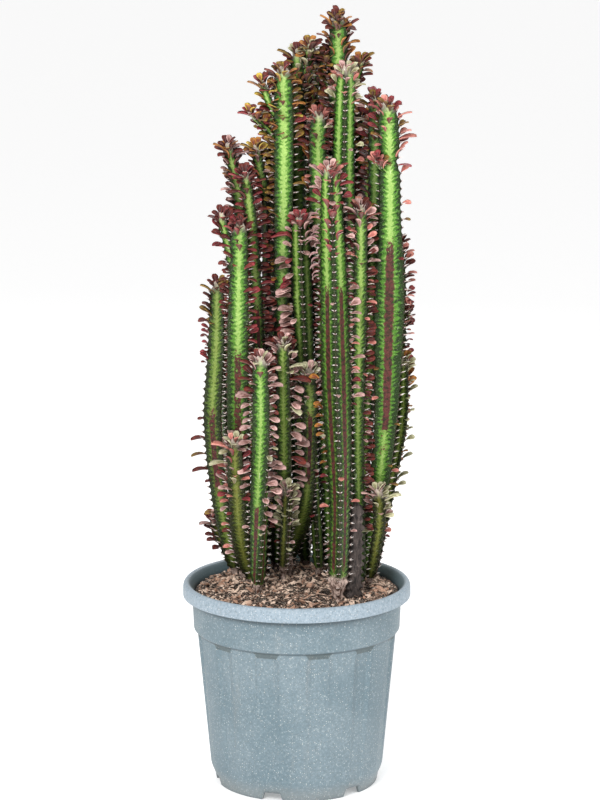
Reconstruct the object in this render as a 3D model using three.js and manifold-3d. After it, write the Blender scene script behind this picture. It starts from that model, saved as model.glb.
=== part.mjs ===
// Potted euphorbia: a clump of upright three-ribbed stems with spines and small leaves,
// growing in bark soil in a fluted nursery pot.
// Millimetres, +Z up. The origin is the centre of the pot on the floor, and -Y is the front.

import * as THREE from "three";
import { mergeVertices } from "three/addons/utils/BufferGeometryUtils.js";
import Module from "manifold-3d";

const wasm = await Module();
wasm.setup();

// ---------------------------------------------------------------- driving dimensions

// Pot
const POT_HEIGHT = 317;
const LIP_RADIUS = 175;
const LIP_DEPTH = 23;
const LIP_SKIN = 3;
const MOUTH_RADIUS = 163.6;
const COLLAR_RADIUS = 160.9;
const COLLAR_BOTTOM = 230;
const BODY_TOP_RADIUS = 153;
const BODY_BOTTOM_RADIUS = 133;
const BODY_BOTTOM = 26;
const FOOT_RADIUS = 124.6;
const FOOT_WIDTH = 4.1;
const FLOOR_UNDERSIDE = 15;
const FLOOR_TOP = 19;
const WALL = 3.4;
const FLUTES = 12;
const FLUTE_DEPTH = 5;
const FLUTE_HALF_ANGLE = 7;
const FLUTE_OFFSET_ANGLE = -17.4;
const FOOT_NOTCHES = 6;
const NOTCH_WIDTH = 34;
const NOTCH_HEIGHT = 13;
const NOTCH_CORNER = 6;
const DRAIN_HOLES = 4;
const DRAIN_RADIUS = 7;
const DRAIN_CIRCLE_RADIUS = 70;

// Soil
const GAP = 0.35;
const SOIL_EDGE_HEIGHT = 303;
const SOIL_MOUND = 17;
const SOIL_ROUGHNESS = 2.4;

// Stems
const ROOT_DEPTH = 50;
const ROOT_RISE = 3;
const ROOT_SLIMNESS = 0.62;
const ROOT_TROUGH = 0.29;
const TROUGH = 0.42;
const FLARE = 18;
const TOOTH_PITCH = 46;
const NOTCH_DEPTH = 0.13;
const TROUGH_STEP = 120;
const TIP_ROUNDING = 1.5;

// Leaves and spines
const LEAF_THICKNESS = 1.5;
const LEAF_ROOT_DEPTH = 4;
const LEAF_CLEARANCE = 0.7;
const SPINE_LENGTH = 5;
const SPINE_WIDTH = 2;
const SPINE_EVERY = 14;

// ---------------------------------------------------------------- colours

const paint = (name, color, roughness) =>
  new THREE.MeshStandardMaterial({ name, color, roughness, metalness: 0 });

const potPlastic = paint("pot_plastic", 0x91a3aa, 0.55);
const barkSoil = paint("bark_soil", 0x7a5240, 0.95);
const stemSkin = paint("stem_skin", 0x5f9048, 0.5);
const deadCork = paint("dead_cork", 0x5c4c40, 0.9);

// ---------------------------------------------------------------- small helpers

const radians = THREE.MathUtils.degToRad;
const clamp = THREE.MathUtils.clamp;
const lerp = THREE.MathUtils.lerp;

// A repeatable value between 0 and 1 for a pair of numbers.
function chance(first, second) {
  const wave = Math.sin(first * 127.1 + second * 311.7) * 43758.5453;
  return wave - Math.floor(wave);
}

function polar(radius, degrees, z) {
  const turn = radians(degrees);
  return new THREE.Vector3(radius * Math.cos(turn), radius * Math.sin(turn), z);
}

// A closed solid from points and triangles that face outward.
function closedSolid(points, triangles) {
  const geometry = new THREE.BufferGeometry().setFromPoints(points);
  geometry.setIndex(triangles.flat());
  return solidOf(geometry);
}

function solidOf(geometry) {
  geometry.deleteAttribute("normal");
  geometry.deleteAttribute("uv");
  const merged = mergeVertices(geometry, 1e-4);
  return new wasm.Manifold(
    new wasm.Mesh({
      numProp: 3,
      vertProperties: new Float32Array(merged.attributes.position.array),
      triVerts: new Uint32Array(merged.index.array),
    }),
  );
}

function geometryOf(solid) {
  const mesh = solid.getMesh();
  const geometry = new THREE.BufferGeometry();
  geometry.setAttribute("position", new THREE.BufferAttribute(mesh.vertProperties, 3));
  geometry.setIndex(new THREE.BufferAttribute(mesh.triVerts, 1));
  geometry.computeVertexNormals();
  return geometry;
}

// Rings of points, listed upward along the outside, with one point at each end on the axis.
function ringSolid(firstPole, rings, lastPole) {
  const count = rings[0].length;
  const points = [firstPole, ...rings.flat(), lastPole];
  const at = (ring, step) => 1 + ring * count + (step % count);
  const triangles = [];
  for (let step = 0; step < count; step += 1) {
    triangles.push([0, at(0, step + 1), at(0, step)]);
    for (let ring = 0; ring + 1 < rings.length; ring += 1) {
      triangles.push([at(ring, step), at(ring, step + 1), at(ring + 1, step + 1)]);
      triangles.push([at(ring, step), at(ring + 1, step + 1), at(ring + 1, step)]);
    }
    triangles.push([at(rings.length - 1, step), at(rings.length - 1, step + 1), points.length - 1]);
  }
  return closedSolid(points, triangles);
}

// ---------------------------------------------------------------- pot

// Each flute is a shallow recess, deepest along its middle.
const fluteCentres = [];
for (let flute = 0; flute < FLUTES; flute += 1) {
  fluteCentres.push(-90 + FLUTE_OFFSET_ANGLE + (flute * 360) / FLUTES);
}

const potAngles = fluteCentres.flatMap((centre) => [
  { degrees: centre - FLUTE_HALF_ANGLE, dent: 0 },
  { degrees: centre, dent: 1 },
  { degrees: centre + FLUTE_HALF_ANGLE, dent: 0 },
]);

const wallSlope = (BODY_TOP_RADIUS - BODY_BOTTOM_RADIUS) / (COLLAR_BOTTOM - BODY_BOTTOM);
const bodyRadius = (z) => BODY_BOTTOM_RADIUS + (z - BODY_BOTTOM) * wallSlope;
const innerRadius = (z) => bodyRadius(z) - FLUTE_DEPTH - WALL;

function potRing([radius, z, dent = 0]) {
  return potAngles.map((angle) => polar(radius - dent * angle.dent, angle.degrees, z));
}

function makePot() {
  const lipBottom = POT_HEIGHT - LIP_DEPTH;
  const profile = [
    [FOOT_RADIUS - FOOT_WIDTH - 1.5, FLOOR_UNDERSIDE],
    [FOOT_RADIUS - FOOT_WIDTH, 0],
    [FOOT_RADIUS, 0],
    [BODY_BOTTOM_RADIUS, BODY_BOTTOM, 0.4],
    [bodyRadius(COLLAR_BOTTOM - 11), COLLAR_BOTTOM - 11, FLUTE_DEPTH],
    [BODY_TOP_RADIUS, COLLAR_BOTTOM],
    [COLLAR_RADIUS - 2.2, COLLAR_BOTTOM + 13],
    [COLLAR_RADIUS + 0.5, POT_HEIGHT - 11],
    [LIP_RADIUS - LIP_SKIN - 0.2, POT_HEIGHT - 11],
    [LIP_RADIUS - LIP_SKIN, lipBottom],
    [LIP_RADIUS, lipBottom],
    [LIP_RADIUS, POT_HEIGHT - 6],
    [LIP_RADIUS - 5, POT_HEIGHT],
    [MOUTH_RADIUS, POT_HEIGHT - 4],
    [COLLAR_RADIUS - WALL, POT_HEIGHT - 14],
    [COLLAR_RADIUS - 2.2 - WALL, COLLAR_BOTTOM + 15],
    [innerRadius(COLLAR_BOTTOM), COLLAR_BOTTOM - 2],
    [innerRadius(FLOOR_TOP), FLOOR_TOP],
  ];
  let pot = ringSolid(
    new THREE.Vector3(0, 0, FLOOR_UNDERSIDE),
    profile.map(potRing),
    new THREE.Vector3(0, 0, FLOOR_TOP),
  );
  for (let notch = 0; notch < FOOT_NOTCHES; notch += 1) {
    pot = pot.subtract(footNotch(-90 + FLUTE_OFFSET_ANGLE + (notch * 360) / FOOT_NOTCHES));
  }
  for (let hole = 0; hole < DRAIN_HOLES; hole += 1) {
    pot = pot.subtract(drainHole((hole * 360) / DRAIN_HOLES));
  }
  return pot;
}

// A round-cornered opening through the foot ring.
function footNotch(degrees) {
  const half = NOTCH_WIDTH / 2;
  const arch = new THREE.Shape();
  arch.moveTo(-half, -2);
  arch.lineTo(half, -2);
  arch.lineTo(half, NOTCH_HEIGHT - NOTCH_CORNER);
  arch.quadraticCurveTo(half, NOTCH_HEIGHT, half - NOTCH_CORNER, NOTCH_HEIGHT);
  arch.lineTo(-half + NOTCH_CORNER, NOTCH_HEIGHT);
  arch.quadraticCurveTo(-half, NOTCH_HEIGHT, -half, NOTCH_HEIGHT - NOTCH_CORNER);
  const block = new THREE.ExtrudeGeometry(arch, { depth: 40, bevelEnabled: false, curveSegments: 2 });
  block.rotateX(Math.PI / 2);
  block.rotateZ(Math.PI / 2);
  block.translate(FOOT_RADIUS - 25, 0, 0);
  block.rotateZ(radians(degrees));
  return solidOf(block);
}

function drainHole(degrees) {
  const plug = new THREE.CylinderGeometry(DRAIN_RADIUS, DRAIN_RADIUS, 20, 8);
  plug.rotateX(Math.PI / 2);
  const place = polar(DRAIN_CIRCLE_RADIUS, degrees, (FLOOR_UNDERSIDE + FLOOR_TOP) / 2);
  plug.translate(place.x, place.y, place.z);
  return solidOf(plug);
}

// ---------------------------------------------------------------- soil

// Height of the mounded soil above the floor.
function soilHeight(x, y) {
  const spread = clamp(Math.hypot(x, y) / COLLAR_RADIUS, 0, 1);
  return SOIL_EDGE_HEIGHT + SOIL_MOUND * (1 - spread * spread);
}

function makeSoil(stems) {
  const edges = potAngles.filter((angle) => angle.dent === 0);
  const ring = (radius, z) => edges.map((angle) => polar(radius, angle.degrees, z));
  const rough = (radius, row) =>
    edges.map((angle, step) => {
      const point = polar(radius, angle.degrees, 0);
      const bump = (chance(row, step) - 0.6) * 2 * SOIL_ROUGHNESS;
      point.z = soilHeight(point.x, point.y) + bump;
      return point;
    });
  const topRadius = COLLAR_RADIUS - WALL - 1;
  let soil = ringSolid(
    new THREE.Vector3(0, 0, FLOOR_TOP + GAP),
    [
      ring(innerRadius(FLOOR_TOP) - GAP - 0.1, FLOOR_TOP + GAP),
      ring(innerRadius(COLLAR_BOTTOM) - GAP - 0.2, COLLAR_BOTTOM - 2),
      ring(COLLAR_RADIUS - 2.7 - WALL - GAP, COLLAR_BOTTOM + 16),
      rough(topRadius, 1),
      rough(topRadius * 0.86, 2),
      rough(topRadius * 0.64, 3),
      rough(topRadius * 0.38, 4),
    ],
    new THREE.Vector3(0, 0, soilHeight(0, 0)),
  );
  for (const stem of stems) {
    soil = soil.subtract(rootHole(stem));
  }
  return soil;
}

// The plain three-sided hole that a stem's root stands in.
function rootHole(stem) {
  const [x, y, , radius] = stem.path[0];
  const top = soilHeight(x, y) + 30;
  const floor = soilHeight(x, y) - ROOT_DEPTH - GAP;
  const reach = radius * ROOT_SLIMNESS + 2 * GAP;
  const level = (z) =>
    [0, 120, 240].map((degrees) => polar(reach, stem.turn + degrees, z).add(new THREE.Vector3(x, y, 0)));
  return ringSolid(new THREE.Vector3(x, y, floor), [level(floor), level(top)], new THREE.Vector3(x, y, top));
}

// ---------------------------------------------------------------- stem form

// A stem's centre line, thickness and rib direction, by distance along it.
class StemForm {
  constructor({ path, turn, twist = 0, waists = [] }, rooted) {
    const start = path[0];
    this.path = path;
    this.turn = turn;
    this.twist = twist;
    this.waists = waists;
    this.rooted = rooted;
    const floorLevel = rooted ? soilHeight(start[0], start[1]) + ROOT_RISE : start[2];
    const places = path.map(([x, y, z]) => new THREE.Vector3(x, y, z));
    places[0].z = floorLevel;
    this.curve = new THREE.CatmullRomCurve3(places, false, "centripetal");
    this.length = this.curve.getLength();
  }

  centre(along) {
    return this.curve.getPointAt(clamp(along / this.length, 0, 1));
  }

  angle(along) {
    return this.turn + this.twist * clamp(along / this.length, 0, 1);
  }

  // Distance from the centre line to a rib's crest, before its teeth.
  reach(along) {
    const z = this.centre(along).z;
    let upper = 1;
    while (upper < this.path.length - 1 && this.path[upper][2] < z) {
      upper += 1;
    }
    const below = this.path[upper - 1];
    const above = this.path[upper];
    const share = clamp((z - below[2]) / (above[2] - below[2]), 0, 1);
    const full = lerp(below[3], above[3], share);
    const foot = lerp(ROOT_SLIMNESS, 1, clamp(along / FLARE, 0, 1));
    const rest = clamp((this.length - along) / (TIP_ROUNDING * full), 0, 1);
    const tip = Math.sqrt(1 - (1 - rest) * (1 - rest));
    let waist = 1;
    for (const height of this.waists) {
      waist -= 0.28 * Math.exp(-(((z - height) / 11) ** 2));
    }
    return full * foot * tip * waist;
  }

  // A point beside the centre line, in the direction of a rib or a trough.
  beside(along, degrees, share) {
    const offset = polar(this.reach(along) * share, degrees, 0);
    return this.centre(along).add(offset);
  }
}

// Notches and tooth tips of a rib, in turn: how far along the stem and how far out.
function crestStops(form, rib) {
  const stops = [];
  const first = FLARE + (rib * TOOTH_PITCH) / 3;
  for (let count = 0; first + (count * TOOTH_PITCH) / 2 < form.length - 7; count += 1) {
    const tooth = count % 2 === 1;
    stops.push({ along: first + (count * TOOTH_PITCH) / 2, tooth, share: tooth ? 1 : 1 - NOTCH_DEPTH });
  }
  stops.push({ along: form.length - 4, tooth: true, share: 1 });
  return stops;
}

function troughStops(form) {
  const stops = [
    { along: 0, share: form.rooted ? ROOT_TROUGH / ROOT_SLIMNESS : TROUGH },
    { along: FLARE, share: TROUGH },
  ];
  for (let along = FLARE + TROUGH_STEP; along < form.length - 40; along += TROUGH_STEP) {
    stops.push({ along, share: TROUGH });
  }
  stops.push({ along: Math.max(form.length - 12, FLARE + 4), share: TROUGH });
  return stops;
}

// One closed body with three toothed ribs and a trough between each two.
function stemBody(form) {
  const points = [];
  const add = (point) => points.push(point) - 1;
  const apex = add(form.centre(form.length).add(new THREE.Vector3(0, 0, 1)));
  const line = (degreesOff, stops) => {
    const vertices = [];
    if (form.rooted) {
      const root = form.beside(0, form.turn + degreesOff, stops[0].share);
      root.z -= ROOT_DEPTH + ROOT_RISE;
      vertices.push({ along: -ROOT_DEPTH, index: add(root) });
    }
    for (const { along, share } of stops) {
      vertices.push({ along, index: add(form.beside(along, form.angle(along) + degreesOff, share)) });
    }
    vertices.push({ along: form.length, index: apex });
    return vertices;
  };
  const crests = [];
  const troughs = [];
  for (let rib = 0; rib < 3; rib += 1) {
    crests.push(line(rib * 120, [{ along: 0, share: 1 }, ...crestStops(form, rib)]));
    troughs.push(line(rib * 120 + 60, troughStops(form)));
  }
  const triangles = [];
  for (let rib = 0; rib < 3; rib += 1) {
    triangles.push(...strip(crests[rib], troughs[rib]));
    triangles.push(...strip(troughs[rib], crests[(rib + 1) % 3]));
  }
  const [a, b, c] = troughs.map((trough) => trough[0].index);
  triangles.push([a, c, b]);
  triangles.push([c, a, crests[0][0].index]);
  triangles.push([a, b, crests[1][0].index]);
  triangles.push([b, c, crests[2][0].index]);
  return closedSolid(points, triangles);
}

// Triangles between two upright lines of points, the left one first as seen from outside.
function strip(left, right) {
  const triangles = [];
  let low = 0;
  let high = 0;
  while (low + 1 < left.length || high + 1 < right.length) {
    const leftNext = left[low + 1];
    const rightNext = right[high + 1];
    if (!rightNext || (leftNext && leftNext.along < rightNext.along)) {
      triangles.push([left[low].index, right[high].index, leftNext.index]);
      low += 1;
    } else {
      triangles.push([left[low].index, right[high].index, rightNext.index]);
      high += 1;
    }
  }
  return triangles.filter(([a, b, c]) => a !== b && b !== c && c !== a);
}

// ---------------------------------------------------------------- leaves and spines

// A keeled leaf that widens from a point in the stem, and bends down toward its tip.
function leafSolid({ root, heading, rise, length, width, droop }, swell = 0) {
  const across = polar(1, heading + 90, 0);
  const run = length + LEAF_ROOT_DEPTH;
  const centre = (share) => {
    const slope = radians(rise - droop * share);
    const step = polar(Math.cos(slope), heading, Math.sin(slope));
    return root.clone().addScaledVector(step, run * share);
  };
  const section = (share, wide, thick) => {
    const middle = centre(share);
    const lift = radians(rise - droop * share * 2 + 90);
    const normal = polar(Math.cos(lift), heading, Math.sin(lift));
    return [
      middle.clone().addScaledVector(across, -wide).addScaledVector(normal, swell),
      middle.clone().addScaledVector(normal, -thick),
      middle.clone().addScaledVector(across, wide).addScaledVector(normal, swell),
    ];
  };
  const half = width / 2 + swell;
  const thick = LEAF_THICKNESS + swell;
  const inner = section(0.55, half, thick);
  const outer = section(0.85, half * 0.86, thick * 0.8);
  const tip = centre(1 + swell / run);
  const triangles = [];
  for (let side = 0; side < 3; side += 1) {
    const next = (side + 1) % 3;
    triangles.push([0, 1 + next, 1 + side]);
    triangles.push([1 + side, 1 + next, 4 + next]);
    triangles.push([1 + side, 4 + next, 4 + side]);
    triangles.push([4 + side, 4 + next, 7]);
  }
  return closedSolid([root, ...inner, ...outer, tip], triangles);
}

// A three-sided spine with its base inside the crest.
function spineSolid(root, heading) {
  const base = [90, 210, 330].map((degrees) => {
    const side = polar((SPINE_WIDTH / 2) * Math.cos(radians(degrees)), heading + 90, 0);
    side.z = (SPINE_WIDTH / 2) * Math.sin(radians(degrees));
    return root.clone().add(side);
  });
  const point = root.clone().add(polar(SPINE_LENGTH + 2, heading, 0.8));
  return closedSolid([...base, point], [[0, 2, 1], [0, 1, 3], [1, 2, 3], [2, 0, 3]]);
}

// Every leaf of one stem: its crown, then its rows.
function leafPlan(form, { crown, rows = [] }, seed) {
  const plan = [];
  const leaf = (rib, along, size, rise, droop) => {
    const wobble = chance(seed, plan.length);
    const heading = form.angle(along) + rib * 120 + (wobble - 0.5) * 50;
    const reach = form.reach(along);
    const share = Math.max(0.1, 1 - (LEAF_ROOT_DEPTH + Math.max(0, 10 - reach) * 0.6) / reach);
    plan.push({
      root: form.beside(along, form.angle(along) + rib * 120, share),
      heading,
      rise: rise + (wobble - 0.5) * 16,
      length: size[0] * (0.85 + 0.3 * wobble),
      width: size[1],
      droop,
    });
  };
  for (let count = 0; count < crown.leaves; count += 1) {
    const along = form.length - 8 - 7 * count;
    leaf(count % 3, along, crown.size, crown.rise - 6 * count, 25);
  }
  for (const row of rows) {
    let along = alongAt(form, row.from);
    const last = alongAt(form, row.to);
    while (along <= last) {
      leaf(row.rib, along, row.size, row.rise, row.droop ?? 30);
      along += row.every;
    }
  }
  return plan;
}

// Distance along a stem at which its centre line reaches a height.
function alongAt(form, height) {
  let low = 0;
  let high = form.length;
  for (let halving = 0; halving < 20; halving += 1) {
    const middle = (low + high) / 2;
    if (form.centre(middle).z < height) {
      low = middle;
    } else {
      high = middle;
    }
  }
  return low;
}

// ---------------------------------------------------------------- the clump

// Leaf sizes are length and width. A path lists x, y, height and rib reach, from soil to tip.
// A turn of 90 puts a trough to the front, and a turn of 30 puts a rib there.
const TINY = [11, 7];
const SMALL = [17, 8];
const MEDIUM = [22, 10];
const LARGE = [27, 14];
const tuft = (leaves, size = SMALL, rise = 62) => ({ leaves, size, rise });

const stems = [
  {
    name: "left_front", turn: 90, crown: tuft(5),
    path: [
      [-80, 38, 318, 18], [-84, -8, 430, 20], [-88, -46, 562, 21],
      [-87, -66, 734, 20], [-84, -64, 878, 16],
    ],
    rows: [{ rib: 2, from: 610, to: 850, every: 46, size: SMALL, rise: 30 }],
    branches: [
      {
        turn: 60, crown: tuft(4, MEDIUM),
        path: [[-88, -60, 790, 11], [-100, -52, 845, 12], [-111, -45, 890, 10]],
      },
    ],
  },
  {
    name: "left_outer", turn: 78, crown: tuft(3),
    path: [
      [-96, 64, 318, 14], [-116, 14, 439, 17], [-126, -14, 571, 18],
      [-120, -24, 681, 17], [-118, -24, 782, 14],
    ],
    rows: [{ rib: 1, from: 490, to: 545, every: 26, size: MEDIUM, rise: 20 }],
  },
  {
    name: "low_left", turn: 90, crown: tuft(5, LARGE, 50),
    path: [[-72, 4, 318, 14], [-85, -36, 387, 17], [-91, -84, 492, 17], [-93, -96, 556, 14]],
  },
  {
    name: "front_left", turn: 30, twist: 60, crown: tuft(6, MEDIUM),
    path: [[-59, -55, 316, 14], [-55, -80, 430, 18], [-51, -104, 574, 18], [-54, -108, 683, 15]],
    rows: [{ rib: 0, from: 480, to: 620, every: 46, size: MEDIUM, rise: 25 }],
  },
  {
    name: "front_middle", turn: 70, crown: tuft(6, MEDIUM),
    path: [
      [-12, 28, 319, 11], [-15, -4, 404, 14], [-16, -30, 470, 15],
      [-17, -64, 583, 15], [-19, -74, 703, 13],
    ],
    rows: [
      { rib: 2, from: 520, to: 670, every: 42, size: LARGE, rise: 15 },
      { rib: 1, from: 540, to: 640, every: 44, size: LARGE, rise: 10 },
    ],
  },
  {
    name: "low_middle", turn: 50, crown: tuft(3, MEDIUM, 50),
    path: [[-20, 2, 319, 9], [-16, -40, 400, 11], [-13, -62, 475, 10]],
  },
  {
    name: "thin_middle", turn: 90, crown: tuft(3, MEDIUM),
    path: [
      [-12, 80, 317, 11], [-7, 60, 356, 16], [4, 34, 392, 19], [15, -10, 450, 14],
      [20, -34, 545, 13], [20, -52, 604, 15], [18, -58, 656, 14],
    ],
  },
  {
    name: "front_right", turn: 30, crown: tuft(5, MEDIUM),
    path: [
      [62, -88, 310, 18], [65, -94, 464, 19], [59, -94, 640, 27],
      [54, -94, 827, 24], [49, -92, 964, 17],
    ],
    rows: [
      { rib: 1, from: 885, to: 945, every: 22, size: MEDIUM, rise: 35 },
      { rib: 0, from: 660, to: 860, every: 70, size: SMALL, rise: 30 },
    ],
  },
  {
    name: "tall_right", turn: 30, crown: tuft(4),
    path: [
      [80, 4, 318, 16], [78, -4, 500, 18], [74, -22, 684, 22],
      [71, -34, 880, 21], [70, -42, 980, 20], [73, -45, 1105, 18],
    ],
  },
  {
    name: "right_outer", turn: 90, crown: tuft(4, MEDIUM), waists: [966],
    path: [
      [108, 34, 316, 16], [124, -8, 460, 19], [134, -38, 577, 22], [138, -42, 750, 29],
      [139, -38, 900, 20], [138, -36, 965, 20], [135, -34, 1052, 19],
    ],
    rows: [{ rib: 2, from: 960, to: 1030, every: 38, size: MEDIUM, rise: 30 }],
    branches: [
      {
        turn: 30, crown: tuft(1, SMALL, 20),
        path: [[132, -42, 950, 8], [122, -52, 962, 8], [117, -56, 972, 6]],
      },
    ],
  },
  {
    name: "low_right", turn: 90, crown: tuft(3, MEDIUM, 50),
    path: [[112, 0, 317, 11], [126, -30, 415, 13], [123, -54, 470, 12]],
  },
  {
    name: "middle", turn: 30, crown: tuft(3),
    path: [[34, 34, 318, 11], [27, 18, 450, 12], [19, -4, 560, 15], [9, -40, 760, 19], [5, -44, 884, 17]],
    rows: [{ rib: 1, from: 640, to: 860, every: 36, size: LARGE, rise: 12 }],
  },
  {
    name: "tall_middle", turn: 60, crown: tuft(5, MEDIUM),
    path: [[16, 108, 317, 12], [6, 40, 600, 13], [5, 19, 810, 15], [6, 18, 977, 17], [4, 17, 1126, 16]],
    rows: [{ rib: 1, from: 1030, to: 1080, every: 40, size: MEDIUM, rise: 30 }],
    branches: [
      {
        turn: 30, crown: tuft(5, MEDIUM),
        path: [[8, 15, 1045, 9], [14, 8, 1085, 10], [21, 2, 1138, 8]],
      },
    ],
  },
  {
    name: "tall_left", turn: 90, crown: tuft(5, MEDIUM),
    path: [
      [-32, 86, 317, 11], [-25, 30, 550, 13], [-22, -5, 753, 16],
      [-19, -24, 960, 19], [-20, -30, 1103, 18],
    ],
    rows: [{ rib: 2, from: 930, to: 1060, every: 60, size: SMALL, rise: 30 }],
    branches: [
      {
        turn: 20, crown: tuft(3, MEDIUM, 40),
        path: [[-22, -24, 985, 8], [-44, -32, 1012, 9], [-70, -40, 1040, 7]],
      },
      {
        turn: 70, crown: tuft(4, MEDIUM),
        path: [[-22, -27, 1020, 9], [-38, -32, 1050, 10], [-51, -36, 1086, 9]],
      },
    ],
  },
  {
    name: "inner_right", turn: 90, crown: tuft(4),
    path: [[52, 66, 318, 12], [40, 26, 560, 13], [38, 8, 658, 14], [32, -12, 905, 17], [32, -16, 1036, 17]],
    rows: [{ rib: 1, from: 860, to: 960, every: 90, size: SMALL, rise: 30 }],
  },
  {
    name: "rear_right", turn: 90, crown: tuft(5, LARGE, 55),
    path: [[98, 66, 317, 10], [109, 32, 592, 12], [116, -4, 905, 13], [118, -2, 1058, 14]],
    rows: [{ rib: 2, from: 950, to: 1020, every: 34, size: MEDIUM, rise: 35 }],
  },
  {
    name: "thin_right", turn: 60, crown: tuft(4, MEDIUM),
    path: [[78, 92, 317, 9], [94, 60, 589, 10], [96, 38, 900, 10], [95, 34, 1032, 9]],
    rows: [{ rib: 2, from: 950, to: 990, every: 50, size: MEDIUM, rise: 35 }],
  },
  {
    name: "slim_right", turn: 90, crown: tuft(3, MEDIUM),
    path: [[98, -28, 316, 11], [92, -50, 577, 13], [95, -68, 766, 14], [95, -72, 905, 12]],
    rows: [{ rib: 2, from: 760, to: 860, every: 60, size: SMALL, rise: 30 }],
  },
  {
    name: "left_inner", turn: 90, crown: tuft(4, MEDIUM),
    path: [
      [-52, 46, 318, 11], [-53, 10, 549, 12], [-60, -18, 756, 12],
      [-69, -34, 887, 12], [-77, -38, 951, 10],
    ],
    rows: [
      { rib: 1, from: 860, to: 930, every: 30, size: MEDIUM, rise: 30 },
      { rib: 2, from: 700, to: 820, every: 80, size: SMALL, rise: 30 },
    ],
  },
  {
    name: "tallest", turn: 90, crown: tuft(6, MEDIUM, 75),
    path: [[46, 104, 317, 12], [56, 62, 640, 13], [60, 42, 744, 14], [62, 22, 1051, 18], [62, 20, 1176, 17]],
    rows: [{ rib: 1, from: 1085, to: 1130, every: 30, size: MEDIUM, rise: 35 }],
    branches: [
      {
        turn: 30, crown: tuft(4, MEDIUM),
        path: [[60, 23, 1050, 9], [47, 18, 1082, 9], [38, 12, 1119, 8]],
      },
      {
        turn: 0, crown: tuft(4, MEDIUM),
        path: [[64, 23, 1040, 9], [84, 20, 1075, 9], [97, 15, 1113, 8]],
      },
    ],
  },
  {
    name: "edge_low", turn: 70, crown: tuft(3, SMALL, 75),
    path: [[122, 76, 315, 9], [146, 42, 451, 10], [163, 14, 566, 11], [164, 8, 660, 9]],
    rows: [{ rib: 2, from: 510, to: 630, every: 38, size: TINY, rise: 50 }],
  },
  {
    name: "edge_tall", turn: 90, crown: tuft(3),
    path: [
      [104, 98, 315, 12], [132, 82, 430, 14], [150, 60, 555, 15],
      [156, 38, 747, 15], [153, 32, 838, 12],
    ],
    rows: [{ rib: 2, from: 600, to: 800, every: 90, size: TINY, rise: 40 }],
    branches: [
      {
        turn: 40, crown: tuft(2, TINY, 60),
        path: [[155, 40, 690, 8], [165, 28, 715, 8], [169, 22, 738, 7]],
      },
    ],
  },
  {
    name: "base_left", turn: 90, crown: tuft(3, MEDIUM, 40),
    path: [[-98, 100, 314, 8], [-119, 78, 358, 9], [-132, 60, 399, 8]],
  },
  {
    name: "forked_left", turn: 30, crown: tuft(0),
    path: [[-52, 84, 318, 11], [-50, 58, 550, 12], [-44, 22, 748, 13], [-43, 14, 924, 12]],
    branches: [
      {
        turn: 80, crown: tuft(4, MEDIUM),
        path: [[-44, 13, 900, 10], [-52, 2, 940, 11], [-61, -8, 987, 9]],
      },
      {
        turn: 60, crown: tuft(4, MEDIUM),
        path: [[-42, 16, 900, 9], [-34, 14, 940, 10], [-34, 12, 992, 8]],
      },
    ],
  },
  {
    name: "leaning_left", turn: 90, crown: tuft(4, MEDIUM),
    path: [
      [-80, 96, 316, 11], [-84, 44, 600, 13], [-86, 16, 800, 13],
      [-86, 6, 900, 13], [-103, -4, 989, 10],
    ],
    rows: [{ rib: 1, from: 800, to: 940, every: 60, size: SMALL, rise: 30 }],
  },
  {
    name: "back_left", turn: 30, crown: tuft(3),
    path: [[-60, 124, 315, 13], [-106, 112, 480, 16], [-114, 94, 730, 14]],
    rows: [{ rib: 1, from: 600, to: 680, every: 60, size: SMALL, rise: 30 }],
  },
  {
    name: "back_left_tall", turn: 90, crown: tuft(4, MEDIUM),
    path: [[-34, 112, 316, 13], [-72, 112, 560, 16], [-71, 90, 900, 13]],
  },
  {
    name: "back_middle", turn: 50, crown: tuft(4, MEDIUM),
    path: [[-8, 118, 316, 13], [-32, 114, 560, 17], [-32, 88, 1030, 14]],
    rows: [{ rib: 0, from: 800, to: 880, every: 60, size: SMALL, rise: 30 }],
  },
  {
    name: "back_tall", turn: 90, crown: tuft(4, MEDIUM),
    path: [[12, 139, 314, 14], [3, 138, 560, 21], [8, 114, 850, 21], [12, 92, 1060, 14]],
    branches: [
      {
        turn: 50, crown: tuft(5, MEDIUM),
        path: [[13, 94, 1010, 10], [26, 84, 1050, 11], [30, 78, 1094, 10]],
      },
    ],
  },
  {
    name: "back_right", turn: 20, crown: tuft(4),
    path: [[64, 126, 315, 13], [62, 134, 600, 17], [52, 96, 1060, 13]],
    rows: [{ rib: 1, from: 660, to: 800, every: 80, size: SMALL, rise: 30 }],
  },
  {
    name: "back_right_outer", turn: 70, crown: tuft(4, MEDIUM),
    path: [[92, 108, 315, 10], [112, 122, 560, 16], [110, 86, 1010, 12]],
  },
  {
    name: "back_low", turn: 90, crown: tuft(3),
    path: [[-32, 134, 315, 10], [-46, 150, 440, 13], [-46, 150, 560, 11]],
    rows: [{ rib: 0, from: 450, to: 530, every: 45, size: TINY, rise: 40 }],
  },
];

// ---------------------------------------------------------------- dead stump

// How far above the ground the stump starts to spread, clear of the rough soil.
const STUMP_RISE = 8;
const STUMP = { name: "dead_stump", turn: 0, path: [[84, -62, 314, 15], [90, -64, 452, 10]] };

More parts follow.
